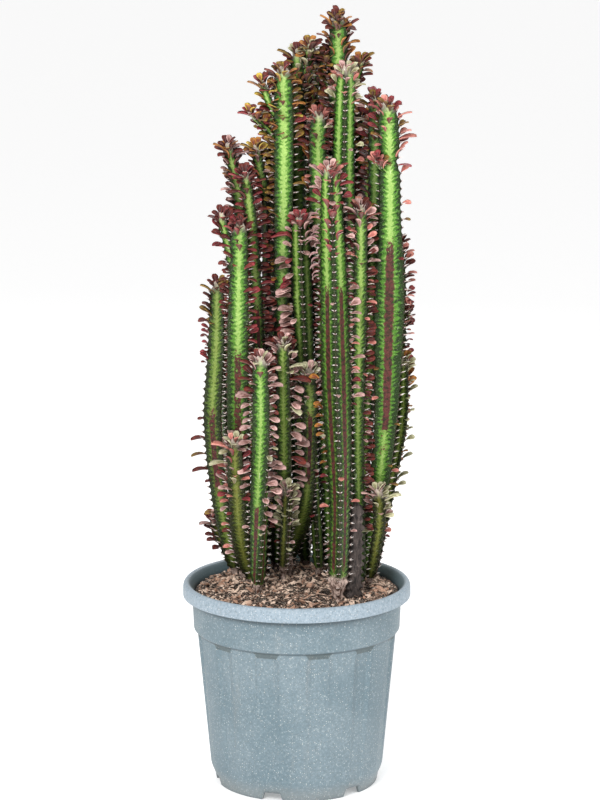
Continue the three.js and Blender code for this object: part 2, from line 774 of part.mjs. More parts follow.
// A short dead stem, shrunk to an uneven corky stub.
function makeStump() {
  const [[x, y, , radius], [topX, topY, top, topRadius]] = STUMP.path;
  const ground = soilHeight(x, y);
  const levels = [0, 0.12, 0.25, 0.4, 0.55, 0.7, 0.85, 0.96];
  const halves = [0, 1, 2, 3, 4, 5];
  const peg = (z) =>
    halves.map((half) => {
      const reach = radius * (half % 2 === 0 ? ROOT_SLIMNESS : ROOT_TROUGH);
      return polar(reach, STUMP.turn + half * 60, z).add(new THREE.Vector3(x, y, 0));
    });
  const rings = levels.map((share, row) =>
    halves.map((half) => {
      const lump = 0.62 + 0.55 * chance(row + 40, half);
      const bodyReach = lerp(radius, topRadius, share) * lump * (half % 2 === 0 ? 1 : 0.8);
      const reach = row === 0 ? radius * ROOT_SLIMNESS : bodyReach;
      const z = lerp(ground + STUMP_RISE, top, share) + chance(row, half + 9) * 3;
      const middle = new THREE.Vector3(lerp(x, topX, share), lerp(y, topY, share), 0);
      return polar(reach, STUMP.turn + half * 60, z).add(middle);
    }),
  );
  return ringSolid(
    new THREE.Vector3(x, y, ground - ROOT_DEPTH),
    [peg(ground - ROOT_DEPTH), peg(ground + ROOT_RISE), ...rings],
    new THREE.Vector3(topX, topY, top + 2),
  );
}

// ---------------------------------------------------------------- assembly

const group = new THREE.Group();

function place(name, solid, material) {
  const mesh = new THREE.Mesh(geometryOf(solid), material);
  mesh.name = name;
  group.add(mesh);
}

// Bounding boxes, to leave out pairs that are far apart.
function near(first, second) {
  const a = first.boundingBox();
  const b = second.boundingBox();
  return [0, 1, 2].every((axis) => a.min[axis] <= b.max[axis] && b.min[axis] <= a.max[axis]);
}

function crosses(solid, others) {
  return others.some((other) => near(solid, other) && !solid.intersect(other).isEmpty());
}

// Everything that a new leaf or spine of a plant has to stay clear of.
function neighbours(plant) {
  const others = grown.filter((other) => other !== plant);
  const solids = others.flatMap(({ body, extras }) => [body, ...extras.map((extra) => extra.roomy)]);
  return [...solids, pot, soil, stump];
}

const pot = makePot();
const soil = makeSoil([...stems, STUMP]);
const stump = makeStump();

const grown = stems.map((stem, index) => {
  const forms = [new StemForm(stem, true)];
  for (const branch of stem.branches ?? []) {
    forms.push(new StemForm(branch, false));
  }
  const bodies = forms.map(stemBody);
  const plans = forms.flatMap((form, part) => {
    const source = part === 0 ? stem : stem.branches[part - 1];
    return leafPlan(form, source, index * 10 + part);
  });
  return { stem, forms, body: bodies.reduce((whole, part) => whole.add(part)), plans, extras: [] };
});

// Leaves that would cross another stem or its leaves are left out.
for (const plant of grown) {
  const inTheWay = neighbours(plant);
  for (const plan of plant.plans) {
    const roomy = leafSolid(plan, LEAF_CLEARANCE);
    if (!crosses(roomy, inTheWay)) {
      plant.extras.push({ solid: leafSolid(plan), roomy });
    }
  }
}

// Spines stand on every so many teeth, on each rib in turn, up to the tips.
for (const [index, plant] of grown.entries()) {
  const inTheWay = neighbours(plant);
  let count = index * 5;
  for (const form of plant.forms) {
    const teeth = [0, 1, 2]
      .flatMap((rib) => crestStops(form, rib).map((stop) => ({ ...stop, rib })))
      .filter((stop) => stop.tooth)
      .sort((a, b) => a.along - b.along);
    for (const { along, rib } of teeth) {
      count += 1;
      if (count % SPINE_EVERY !== 0) {
        continue;
      }
      const heading = form.angle(along) + rib * 120;
      const reach = form.reach(along);
      const root = form.beside(along, heading, 1 - 2 / Math.max(reach, 3));
      const spine = spineSolid(root, heading + (chance(count, 3) - 0.5) * 60);
      if (!crosses(spine, inTheWay)) {
        plant.extras.push({ solid: spine, roomy: spine });
      }
    }
  }
}

place("pot", pot, potPlastic);
place("soil", soil, barkSoil);
place(STUMP.name, stump, deadCork);
for (const { stem, body, extras } of grown) {
  const whole = extras.reduce((sum, extra) => sum.add(extra.solid), body);
  place(`stem_${stem.name}`, whole, stemSkin);
}

export default group;
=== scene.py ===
"""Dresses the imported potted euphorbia: ribbed stems, leaves and spines on bark soil in a moulded pot."""

import math

import bmesh
import bpy
import numpy as np
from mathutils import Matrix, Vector, noise
from mathutils.bvhtree import BVHTree


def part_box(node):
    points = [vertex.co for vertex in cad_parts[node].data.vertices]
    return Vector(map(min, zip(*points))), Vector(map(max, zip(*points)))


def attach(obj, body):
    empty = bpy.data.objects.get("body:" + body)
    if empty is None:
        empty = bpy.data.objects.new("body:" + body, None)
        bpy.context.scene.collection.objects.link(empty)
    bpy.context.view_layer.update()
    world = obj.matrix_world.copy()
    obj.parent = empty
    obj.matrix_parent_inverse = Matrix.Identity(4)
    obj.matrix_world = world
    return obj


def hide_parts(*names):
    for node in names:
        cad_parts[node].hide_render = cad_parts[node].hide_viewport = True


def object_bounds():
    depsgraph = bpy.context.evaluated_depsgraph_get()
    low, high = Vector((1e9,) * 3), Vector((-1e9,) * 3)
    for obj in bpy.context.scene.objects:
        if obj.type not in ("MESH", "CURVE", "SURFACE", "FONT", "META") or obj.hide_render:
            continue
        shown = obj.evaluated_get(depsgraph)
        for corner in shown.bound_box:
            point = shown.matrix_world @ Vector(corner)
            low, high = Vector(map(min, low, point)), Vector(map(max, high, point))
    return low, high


bl_info = {
    "name": "Potted Euphorbia",
    "version": (1, 0, 0),
    "blender": (4, 5, 0),
    "location": "3D View > Sidebar > Euphorbia",
    "description": "Ribbed stems, leaves and spines on bark soil in a moulded nursery pot",
    "category": "Object",
}

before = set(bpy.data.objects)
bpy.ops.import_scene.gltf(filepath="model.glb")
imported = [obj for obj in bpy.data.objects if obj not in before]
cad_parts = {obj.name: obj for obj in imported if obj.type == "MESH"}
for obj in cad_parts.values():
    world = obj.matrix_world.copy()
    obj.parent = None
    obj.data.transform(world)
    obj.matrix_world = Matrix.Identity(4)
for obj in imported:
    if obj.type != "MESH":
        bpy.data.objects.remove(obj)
CAD_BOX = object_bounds()
POT_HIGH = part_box("pot")[1]


# ------------------------------------------------------------------ sizes of the grown form, in metres

SOIL_EDGE_HEIGHT = 0.303
SOIL_MOUND = 0.017
SOIL_RADIUS = 0.1609
ROOT_RISE = 0.003
ROOT_SLIMNESS = 0.62
FLARE = 0.018
AREOLE_PITCH = 0.046 / 4
FIRST_AREOLE = 2
TIP_ROUNDING = 1.5
LEAF_ROOT_DEPTH = 0.004
BELOW_SOIL = 0.016
STATION_STEP = 0.0023
FIRST_FLUTE = math.radians(-90 - 17.4)
FLUTE_STEP = math.tau / 12
COLLAR_FOOT = 0.2385
ARCH_SHADOW_FOOT = 0.2310
LIP_DEPTH = 0.023
POT_FLOOR = 0.019
SEEN_DROP = 11.3
CAMERA_PLACE = (0.005, -4.5, 1.497)
LIT_PLACE = Vector((0, 0, 0.6))
FLOOR_HALF = 60.0
BOX_MARGIN = 0.004
SLICE = 0.0035
LEAF_ON_SOLID = 0.0012
SAME_LEAF = 0.006
GOLDEN_TURN = 137.5
LEAF_TINT_SPREAD = 997

TINY = (0.011, 0.007)
SMALL = (0.017, 0.008)
MEDIUM = (0.022, 0.010)
LARGE = (0.027, 0.014)


def tuft(leaves, size=SMALL, rise=62):
    """The crown of a stem: how many large leaves, their size and how steeply the top one rises."""
    return {"leaves": leaves, "size": size, "rise": rise}


def row(rib, low, high, every, size, rise):
    """A row of large leaves on one rib, between two heights."""
    return {"rib": rib, "low": low, "high": high, "every": every, "size": size, "rise": rise}


def branch(turn, crown, path):
    """A side branch, with its direction, crown and path."""
    return {"turn": turn, "crown": crown, "path": path}


def looks(olive=0.25, cork=0.012, leafy=0.07, tints="wine crimson rose", stripes=(), fringes=()):
    """How dull and corky a stem is, how far down its top is leafy, its leaves' tints, stripes and fringes."""
    look = {"olive": olive, "cork": cork, "leafy": leafy, "tints": tints.split()}
    return {**look, "stripes": stripes, "fringes": fringes}


def stem(name, turn, path, crown, look, twist=0, waists=(), rows=(), branches=()):
    """A stem. Its path lists x, y, height and rib reach, from the soil to the tip."""
    grown = {"name": name, "turn": turn, "path": path, "crown": crown, "twist": twist}
    return {**grown, "waists": waists, "rows": rows, "branches": branches, "look": look}


# A turn of 90 puts a trough to the front, and a turn of 30 puts a rib there.
# A stripe is a purple band: trough, low, high, strength. A fringe is a row of small leaves, one at
# each areole: rib, low, high, tint, length, rise, swing to the side.
STEMS = [
    stem(
        "left_front", turn=90, crown=tuft(5),
        path=[(-0.08, 0.038, 0.318, 0.018), (-0.084, -0.008, 0.43, 0.02),
              (-0.088, -0.046, 0.562, 0.021), (-0.087, -0.066, 0.734, 0.02),
              (-0.084, -0.064, 0.878, 0.016)],
        rows=[row(2, 0.61, 0.85, 0.046, SMALL, 30)],
        branches=[
            branch(
                60, tuft(4, MEDIUM),
                [(-0.088, -0.06, 0.79, 0.011), (-0.1, -0.052, 0.845, 0.012), (-0.111, -0.045, 0.89, 0.01)],
            ),
        ],
        look=looks(
            olive=0.05, tints="wine crimson wine", stripes=[(1, 0.5, 0.7, 0.75)],
            fringes=[(2, 0.7, 0.86, "crimson", 0.013, 35, 0), (1, 0.74, 0.86, "wine", 0.01, 35, 0)],
        ),
    ),
    stem(
        "left_outer", turn=78, crown=tuft(3),
        path=[(-0.096, 0.064, 0.318, 0.014), (-0.116, 0.014, 0.439, 0.017),
              (-0.126, -0.014, 0.571, 0.018), (-0.12, -0.024, 0.681, 0.017),
              (-0.118, -0.024, 0.782, 0.014)],
        rows=[row(1, 0.49, 0.545, 0.026, MEDIUM, 20)],
        look=looks(
            olive=0.5, tints="wine olive wine", stripes=[(1, 0.44, 0.6, 0.8)],
            fringes=[(1, 0.655, 0.755, "crimson", 0.011, 45, 0)],
        ),
    ),
    stem(
        "low_left", turn=90, crown=tuft(5, LARGE, 50),
        path=[(-0.072, 0.004, 0.318, 0.014), (-0.085, -0.036, 0.387, 0.017),
              (-0.091, -0.084, 0.492, 0.017), (-0.093, -0.096, 0.556, 0.014)],
        look=looks(
            olive=0.75, cork=0.0, leafy=0.1, tints="rose salmon cream crimson",
            fringes=[(1, 0.44, 0.54, "rose", 0.02, 15, -10), (2, 0.44, 0.54, "rose", 0.018, 15, 10)],
        ),
    ),
    stem(
        "front_left", turn=30, twist=60, crown=tuft(6, MEDIUM),
        path=[(-0.059, -0.055, 0.316, 0.014), (-0.055, -0.08, 0.43, 0.018),
              (-0.051, -0.104, 0.574, 0.018), (-0.054, -0.108, 0.683, 0.015)],
        rows=[row(0, 0.48, 0.62, 0.046, MEDIUM, 25)],
        look=looks(
            olive=0.0, leafy=0.05, tints="cream wine rose",
            stripes=[(1, 0.3, 0.47, 0.85), (2, 0.3, 0.47, 0.85)],
            fringes=[(1, 0.44, 0.66, "rose", 0.018, 12, -15), (2, 0.42, 0.66, "rose", 0.016, 12, 15)],
        ),
    ),
    stem(
        "front_middle", turn=70, crown=tuft(6, MEDIUM),
        path=[(-0.012, 0.028, 0.319, 0.011), (-0.015, -0.004, 0.404, 0.014),
              (-0.016, -0.03, 0.47, 0.015), (-0.017, -0.064, 0.583, 0.015),
              (-0.019, -0.074, 0.703, 0.013)],
        rows=[row(2, 0.52, 0.67, 0.042, LARGE, 15), row(1, 0.54, 0.64, 0.044, LARGE, 10)],
        look=looks(
            olive=0.45, cork=0.05, leafy=0.05, tints="wine rose cream",
            fringes=[(2, 0.46, 0.69, "rose", 0.018, 8, 20), (1, 0.46, 0.69, "rose", 0.019, 8, 0)],
        ),
    ),
    stem(
        "low_middle", turn=50, crown=tuft(3, MEDIUM, 50),
        path=[(-0.02, 0.002, 0.319, 0.009), (-0.016, -0.04, 0.4, 0.011),
              (-0.013, -0.062, 0.475, 0.01)],
        look=looks(
            olive=0.8, cork=0.03, leafy=0.07, tints="cream rose cream",
            fringes=[(2, 0.42, 0.448, "salmon", 0.025, 12, 50), (1, 0.42, 0.475, "cream", 0.015, 10, 0)],
        ),
    ),
    stem(
        "thin_middle", turn=90, crown=tuft(3, MEDIUM),
        path=[(-0.012, 0.08, 0.317, 0.011), (-0.007, 0.06, 0.356, 0.016),
              (0.004, 0.034, 0.392, 0.019), (0.015, -0.01, 0.45, 0.014),
              (0.02, -0.034, 0.545, 0.013), (0.02, -0.052, 0.604, 0.015),
              (0.018, -0.058, 0.656, 0.014)],
        look=looks(
            olive=0.55, leafy=0.05, tints="cream rose cream", stripes=[(1, 0.46, 0.6, 1.0)],
            fringes=[(1, 0.44, 0.64, "rose", 0.014, 15, 0)],
        ),
    ),
    stem(
        "front_right", turn=30, crown=tuft(5, MEDIUM),
        path=[(0.062, -0.088, 0.31, 0.018), (0.065, -0.094, 0.464, 0.019),
              (0.059, -0.094, 0.64, 0.027), (0.054, -0.094, 0.827, 0.024),
              (0.049, -0.092, 0.964, 0.017)],
        rows=[row(1, 0.885, 0.945, 0.022, MEDIUM, 35), row(0, 0.66, 0.86, 0.07, SMALL, 30)],
        look=looks(
            olive=0.1, cork=0.05, leafy=0.05, tints="crimson rose salmon",
            stripes=[(1, 0.34, 0.8, 1.0), (2, 0.34, 0.8, 1.0)],
            fringes=[
                (1, 0.8, 0.945, "hooked", 0.018, 30, 15), (2, 0.83, 0.91, "crimson", 0.014, 72, 0),
                (1, 0.52, 0.66, "brown", 0.012, 15, 20), (0, 0.6, 0.9, "rose", 0.014, 20, -15),
            ],
        ),
    ),
    stem(
        "tall_right", turn=30, crown=tuft(4),
        path=[(0.08, 0.004, 0.318, 0.016), (0.078, -0.004, 0.5, 0.018),
              (0.074, -0.022, 0.684, 0.022), (0.071, -0.034, 0.88, 0.021),
              (0.07, -0.042, 0.98, 0.02), (0.073, -0.045, 1.105, 0.018)],
        look=looks(
            olive=0.0, leafy=0.05, tints="cream salmon rose",
            fringes=[(0, 0.6, 0.96, "rose", 0.01, 25, 0), (1, 0.8, 1.05, "wine", 0.012, 25, 0)],
        ),
    ),
    stem(
        "right_outer", turn=90, waists=(0.966,), crown=tuft(4, MEDIUM),
        path=[(0.108, 0.034, 0.316, 0.016), (0.124, -0.008, 0.46, 0.019),
              (0.134, -0.038, 0.577, 0.022), (0.138, -0.042, 0.75, 0.029),
              (0.139, -0.038, 0.9, 0.02), (0.138, -0.036, 0.965, 0.02),
              (0.135, -0.034, 1.052, 0.019)],
        rows=[row(2, 0.96, 1.03, 0.038, MEDIUM, 30)],
        branches=[
            branch(
                30, tuft(1, SMALL, 20),
                [(0.132, -0.042, 0.95, 0.008), (0.122, -0.052, 0.962, 0.008), (0.117, -0.056, 0.972, 0.006)],
            ),
        ],
        look=looks(
            olive=0.0, leafy=0.06, tints="olive crimson salmon",
            stripes=[(1, 0.5, 0.56, 0.45), (1, 0.54, 0.86, 1.0)],
            fringes=[(2, 0.94, 1.04, "salmon", 0.017, 68, 0)],
        ),
    ),
    stem(
        "low_right", turn=90, crown=tuft(3, MEDIUM, 50),
        path=[(0.112, 0.000, 0.317, 0.011), (0.126, -0.03, 0.415, 0.013),
              (0.123, -0.054, 0.47, 0.012)],
        look=looks(
            olive=0.8, leafy=0.05, tints="rose cream",
            fringes=[(1, 0.38, 0.46, "cream", 0.017, 15, -10), (2, 0.42, 0.46, "rose", 0.014, 15, 0)],
        ),
    ),
    stem(
        "middle", turn=30, crown=tuft(3),
        path=[(0.034, 0.034, 0.318, 0.011), (0.027, 0.018, 0.45, 0.012),
              (0.019, -0.004, 0.56, 0.015), (0.009, -0.04, 0.76, 0.019),
              (0.005, -0.044, 0.884, 0.017)],
        rows=[row(1, 0.64, 0.86, 0.036, LARGE, 12)],
        look=looks(
            olive=0.3, leafy=0.05, tints="rose crimson",
            fringes=[
                (1, 0.58, 0.86, "rose", 0.021, 8, 25), (2, 0.69, 0.83, "rose", 0.017, 12, -62),
                (0, 0.6, 0.86, "wine", 0.012, 20, -10),
            ],
        ),
    ),
    stem(
        "tall_middle", turn=60, crown=tuft(5, MEDIUM),
        path=[(0.016, 0.108, 0.317, 0.012), (0.006, 0.04, 0.6, 0.013),
              (0.005, 0.019, 0.81, 0.015), (0.006, 0.018, 0.977, 0.017),
              (0.004, 0.017, 1.126, 0.016)],
        rows=[row(1, 1.03, 1.08, 0.04, MEDIUM, 30)],
        branches=[
            branch(
                30, tuft(5, MEDIUM),
                [(0.008, 0.015, 1.045, 0.009), (0.014, 0.008, 1.085, 0.01), (0.021, 0.002, 1.138, 0.008)],
            ),
        ],
        look=looks(
            olive=0.15, leafy=0.17, tints="wine olive wine brown cream",
            fringes=[(1, 0.7, 0.98, "wine", 0.014, 35, 0), (2, 0.6, 0.98, "rose", 0.012, 30, 0)],
        ),
    ),
    stem(
        "tall_left", turn=90, crown=tuft(5, MEDIUM),
        path=[(-0.032, 0.086, 0.317, 0.011), (-0.025, 0.03, 0.55, 0.013),
              (-0.022, -0.005, 0.753, 0.016), (-0.019, -0.024, 0.96, 0.019),
              (-0.02, -0.03, 1.103, 0.018)],
        rows=[row(2, 0.93, 1.06, 0.06, SMALL, 30)],
        branches=[
            branch(
                20, tuft(3, MEDIUM, 40),
                [(-0.022, -0.024, 0.985, 0.008), (-0.044, -0.032, 1.012, 0.009), (-0.07, -0.04, 1.04, 0.007)],
            ),
            branch(
                70, tuft(4, MEDIUM),
                [(-0.022, -0.027, 1.02, 0.009), (-0.038, -0.032, 1.05, 0.01), (-0.051, -0.036, 1.086, 0.009)],
            ),
        ],
        look=looks(
            olive=0.0, leafy=0.09, tints="olive wine brown gold crimson",
            fringes=[
                (1, 0.8, 1.04, "olive", 0.016, 45, 0), (2, 0.98, 1.08, "olive", 0.018, 55, 0),
                (1, 0.6, 0.8, "rose", 0.013, 20, 0),
            ],
        ),
    ),
    stem(
        "inner_right", turn=90, crown=tuft(4),
        path=[(0.052, 0.066, 0.318, 0.012), (0.04, 0.026, 0.56, 0.013),
              (0.038, 0.008, 0.658, 0.014), (0.032, -0.012, 0.905, 0.017),
              (0.032, -0.016, 1.036, 0.017)],
        rows=[row(1, 0.86, 0.96, 0.09, SMALL, 30)],
        look=looks(
            olive=0.1, leafy=0.05, tints="wine salmon",
            fringes=[(1, 0.91, 1.02, "brown", 0.016, 72, 0), (2, 0.7, 0.98, "wine", 0.013, 30, 0)],
        ),
    ),
    stem(
        "rear_right", turn=90, crown=tuft(5, LARGE, 55),
        path=[(0.098, 0.066, 0.317, 0.01), (0.109, 0.032, 0.592, 0.012),
              (0.116, -0.004, 0.905, 0.013), (0.118, -0.002, 1.058, 0.014)],
        rows=[row(2, 0.95, 1.02, 0.034, MEDIUM, 35)],
        look=looks(
            olive=0.1, leafy=0.07, tints="crimson olive wine",
            fringes=[(2, 0.88, 1.04, "salmon", 0.018, 55, 0), (1, 0.9, 1.03, "wine", 0.016, 45, 0)],
        ),
    ),
    stem(
        "thin_right", turn=60, crown=tuft(4, MEDIUM),
        path=[(0.078, 0.092, 0.317, 0.009), (0.094, 0.06, 0.589, 0.01),
              (0.096, 0.038, 0.9, 0.01), (0.095, 0.034, 1.032, 0.009)],
        rows=[row(2, 0.95, 0.99, 0.05, MEDIUM, 35)],
        look=looks(
            olive=0.1, leafy=0.06, tints="brown wine",
            fringes=[(2, 0.92, 1.03, "brown", 0.016, 72, 0), (1, 0.7, 0.98, "wine", 0.013, 35, 0)],
        ),
    ),
    stem(
        "slim_right", turn=90, crown=tuft(3, MEDIUM),
        path=[(0.098, -0.028, 0.316, 0.011), (0.092, -0.05, 0.577, 0.013),
              (0.095, -0.068, 0.766, 0.014), (0.095, -0.072, 0.905, 0.012)],
        rows=[row(2, 0.76, 0.86, 0.06, SMALL, 30)],
        look=looks(
            olive=0.3, leafy=0.09, tints="salmon rose wine",
            fringes=[(1, 0.5, 0.86, "rose", 0.013, 20, 0), (2, 0.4, 0.86, "wine", 0.012, 25, 0)],
        ),
    ),
    stem(
        "left_inner", turn=90, crown=tuft(4, MEDIUM),
        path=[(-0.052, 0.046, 0.318, 0.011), (-0.053, 0.01, 0.549, 0.012),
              (-0.06, -0.018, 0.756, 0.012), (-0.069, -0.034, 0.887, 0.012),
              (-0.077, -0.038, 0.951, 0.01)],
        rows=[row(1, 0.86, 0.93, 0.03, MEDIUM, 30), row(2, 0.7, 0.82, 0.08, SMALL, 30)],
        look=looks(
            olive=0.45, leafy=0.09, tints="wine crimson", stripes=[(1, 0.48, 0.76, 0.95)],
            fringes=[(2, 0.6, 0.9, "wine", 0.015, 25, 0), (1, 0.76, 0.92, "crimson", 0.016, 30, 0)],
        ),
    ),
    stem(
        "tallest", turn=90, crown=tuft(6, MEDIUM, 75),
        path=[(0.046, 0.104, 0.317, 0.012), (0.056, 0.062, 0.64, 0.013),
              (0.06, 0.042, 0.744, 0.014), (0.062, 0.022, 1.051, 0.018),
              (0.062, 0.02, 1.176, 0.017)],
        rows=[row(1, 1.085, 1.13, 0.03, MEDIUM, 35)],
        branches=[
            branch(
                30, tuft(4, MEDIUM),
                [(0.06, 0.023, 1.05, 0.009), (0.047, 0.018, 1.082, 0.009), (0.038, 0.012, 1.119, 0.008)],
            ),
            branch(
                0, tuft(4, MEDIUM),
                [(0.064, 0.023, 1.04, 0.009), (0.084, 0.02, 1.075, 0.009), (0.097, 0.015, 1.113, 0.008)],
            ),
        ],
        look=looks(
            olive=0.0, leafy=0.2, tints="wine brown wine olive",
            fringes=[(1, 0.8, 1.02, "wine", 0.015, 40, 0), (2, 0.8, 1.02, "wine", 0.015, 40, 0)],
        ),
    ),
    stem(
        "edge_low", turn=70, crown=tuft(3, SMALL, 75),
        path=[(0.122, 0.076, 0.315, 0.009), (0.146, 0.042, 0.451, 0.01),
              (0.163, 0.014, 0.566, 0.011), (0.164, 0.008, 0.66, 0.009)],
        rows=[row(2, 0.51, 0.63, 0.038, TINY, 50)],
        look=looks(
            olive=0.6, leafy=0.05, tints="cream brown",
            fringes=[(2, 0.44, 0.64, "cream", 0.014, 40, 0), (1, 0.48, 0.64, "rose", 0.013, 40, 0)],
        ),
    ),
    stem(
        "edge_tall", turn=90, crown=tuft(3),
        path=[(0.104, 0.098, 0.315, 0.012), (0.132, 0.082, 0.43, 0.014),
              (0.15, 0.06, 0.555, 0.015), (0.156, 0.038, 0.747, 0.015),
              (0.153, 0.032, 0.838, 0.012)],
        rows=[row(2, 0.6, 0.8, 0.09, TINY, 40)],
        branches=[
            branch(
                40, tuft(2, TINY, 60),
                [(0.155, 0.04, 0.69, 0.008), (0.165, 0.028, 0.715, 0.008), (0.169, 0.022, 0.738, 0.007)],
            ),
        ],
        look=looks(
            olive=0.4, leafy=0.07, tints="salmon wine", fringes=[(2, 0.5, 0.8, "crimson", 0.01, 35, 0)],
        ),
    ),
    stem(
        "base_left", turn=90, crown=tuft(3, MEDIUM, 40),
        path=[(-0.098, 0.1, 0.314, 0.008), (-0.119, 0.078, 0.358, 0.009),
              (-0.132, 0.06, 0.399, 0.008)],
        look=looks(olive=0.95, leafy=0.06, tints="wine rose wine"),
    ),
    stem(
        "forked_left", turn=30, crown=tuft(0),
        path=[(-0.052, 0.084, 0.318, 0.011), (-0.05, 0.058, 0.55, 0.012),
              (-0.044, 0.022, 0.748, 0.013), (-0.043, 0.014, 0.924, 0.012)],
        branches=[
            branch(
                80, tuft(4, MEDIUM),
                [(-0.044, 0.013, 0.9, 0.01), (-0.052, 0.002, 0.94, 0.011), (-0.061, -0.008, 0.987, 0.009)],
            ),
            branch(
                60, tuft(4, MEDIUM),
                [(-0.042, 0.016, 0.9, 0.009), (-0.034, 0.014, 0.94, 0.01), (-0.034, 0.012, 0.992, 0.008)],
            ),
        ],
        look=looks(
            olive=0.35, leafy=0.12, tints="wine olive gold rose brown",
            fringes=[(2, 0.7, 0.92, "wine", 0.015, 40, 0), (1, 0.74, 0.92, "crimson", 0.014, 35, 0)],
        ),
    ),
    stem(
        "leaning_left", turn=90, crown=tuft(4, MEDIUM),
        path=[(-0.08, 0.096, 0.316, 0.011), (-0.084, 0.044, 0.6, 0.013),
              (-0.086, 0.016, 0.8, 0.013), (-0.086, 0.006, 0.9, 0.013),
              (-0.103, -0.004, 0.989, 0.01)],
        rows=[row(1, 0.8, 0.94, 0.06, SMALL, 30)],
        look=looks(
            olive=0.35, leafy=0.14, tints="wine brown rose wine",
            fringes=[(1, 0.62, 0.88, "wine", 0.014, 30, 0), (2, 0.62, 0.88, "wine", 0.014, 30, 0)],
        ),
    ),
    stem(
        "back_left", turn=30, crown=tuft(3),
        path=[(-0.06, 0.124, 0.315, 0.013), (-0.106, 0.112, 0.48, 0.016),
              (-0.114, 0.094, 0.73, 0.014)],
        rows=[row(1, 0.6, 0.68, 0.06, SMALL, 30)],
        look=looks(stripes=[(1, 0.4, 0.6, 0.7)], fringes=[(0, 0.5, 0.68, "rose", 0.014, 20, 0)]),
    ),
    stem(
        "back_left_tall", turn=90, crown=tuft(4, MEDIUM),
        path=[(-0.034, 0.112, 0.316, 0.013), (-0.072, 0.112, 0.56, 0.016),
              (-0.071, 0.09, 0.9, 0.013)],
        look=looks(
            olive=0.1, leafy=0.1, stripes=[(0, 0.45, 0.75, 0.9)],
            fringes=[(0, 0.6, 0.84, "wine", 0.015, 30, 0)],
        ),
    ),
    stem(
        "back_middle", turn=50, crown=tuft(4, MEDIUM),
        path=[(-0.008, 0.118, 0.316, 0.013), (-0.032, 0.114, 0.56, 0.017),
              (-0.032, 0.088, 1.03, 0.014)],
        rows=[row(0, 0.8, 0.88, 0.06, SMALL, 30)],
        look=looks(olive=0.2, leafy=0.1, fringes=[(0, 0.6, 0.94, "rose", 0.016, 20, 0)]),
    ),
    stem(
        "back_tall", turn=90, crown=tuft(4, MEDIUM),
        path=[(0.012, 0.139, 0.314, 0.014), (0.003, 0.138, 0.56, 0.021),
              (0.008, 0.114, 0.85, 0.021), (0.012, 0.092, 1.06, 0.014)],
        branches=[
            branch(
                50, tuft(5, MEDIUM),
                [(0.013, 0.094, 1.01, 0.01), (0.026, 0.084, 1.05, 0.011), (0.03, 0.078, 1.094, 0.01)],
            ),
        ],
        look=looks(
            olive=0.0, leafy=0.2, tints="wine olive brown", fringes=[(0, 0.7, 0.92, "wine", 0.015, 35, 0)],
        ),
    ),
    stem(
        "back_right", turn=20, crown=tuft(4),
        path=[(0.064, 0.126, 0.315, 0.013), (0.062, 0.134, 0.6, 0.017),
              (0.052, 0.096, 1.06, 0.013)],
        rows=[row(1, 0.66, 0.8, 0.08, SMALL, 30)],
        look=looks(
            olive=0.1, leafy=0.1, stripes=[(0, 0.4, 0.8, 0.9), (1, 0.4, 0.8, 0.9)],
            fringes=[(1, 0.6, 0.92, "crimson", 0.014, 30, 0)],
        ),
    ),
    stem(
        "back_right_outer", turn=70, crown=tuft(4, MEDIUM),
        path=[(0.092, 0.108, 0.315, 0.01), (0.112, 0.122, 0.56, 0.016),
              (0.11, 0.086, 1.01, 0.012)],
        look=looks(olive=0.2, leafy=0.09, fringes=[(0, 0.6, 0.9, "rose", 0.014, 25, 0)]),
    ),
    stem(
        "back_low", turn=90, crown=tuft(3),
        path=[(-0.032, 0.134, 0.315, 0.01), (-0.046, 0.15, 0.44, 0.013),
              (-0.046, 0.15, 0.56, 0.011)],
        rows=[row(0, 0.45, 0.53, 0.045, TINY, 40)],
        look=looks(olive=0.7, tints="rose cream"),
    ),
]

# Leaf tints: colour at the root, then at the tip.
TINTS = {
    "wine": ("#35151a", "#7f3a30"),
    "olive": ("#4a2419", "#a1843a"),
    "brown": ("#6b2f19", "#c98c3f"),
    "crimson": ("#5a1c22", "#a8464a"),
    "salmon": ("#a85a52", "#eda394"),
    "rose": ("#7c5750", "#e6bdb6"),
    "hooked": ("#8c4c56", "#ecccc6"),
    "cream": ("#7b7a50", "#e2dfba"),
    "gold": ("#8a5a26", "#e4cb58"),
}

STUMP_PATH = ((0.084, -0.062, 0.314, 0.015), (0.090, -0.064, 0.452, 0.010))


# ------------------------------------------------------------------ stem form


def chance(first, second):
    """A fixed number from 0 to 1 for each pair of numbers."""
    wave = math.sin(first * 127.1 + second * 311.7) * 43758.5453
    return wave - math.floor(wave)


def polar(radius, degrees, z=0.0):
    """Points round the vertical axis."""
    angle = np.radians(degrees)
    flat = np.broadcast_arrays(radius * np.cos(angle), radius * np.sin(angle), z)
    return np.stack(flat, axis=-1)


def soil_height(x, y):
    """Height of the mounded soil above the floor."""
    spread = np.clip(np.hypot(x, y) / SOIL_RADIUS, 0, 1)
    return SOIL_EDGE_HEIGHT + SOIL_MOUND * (1 - spread * spread)


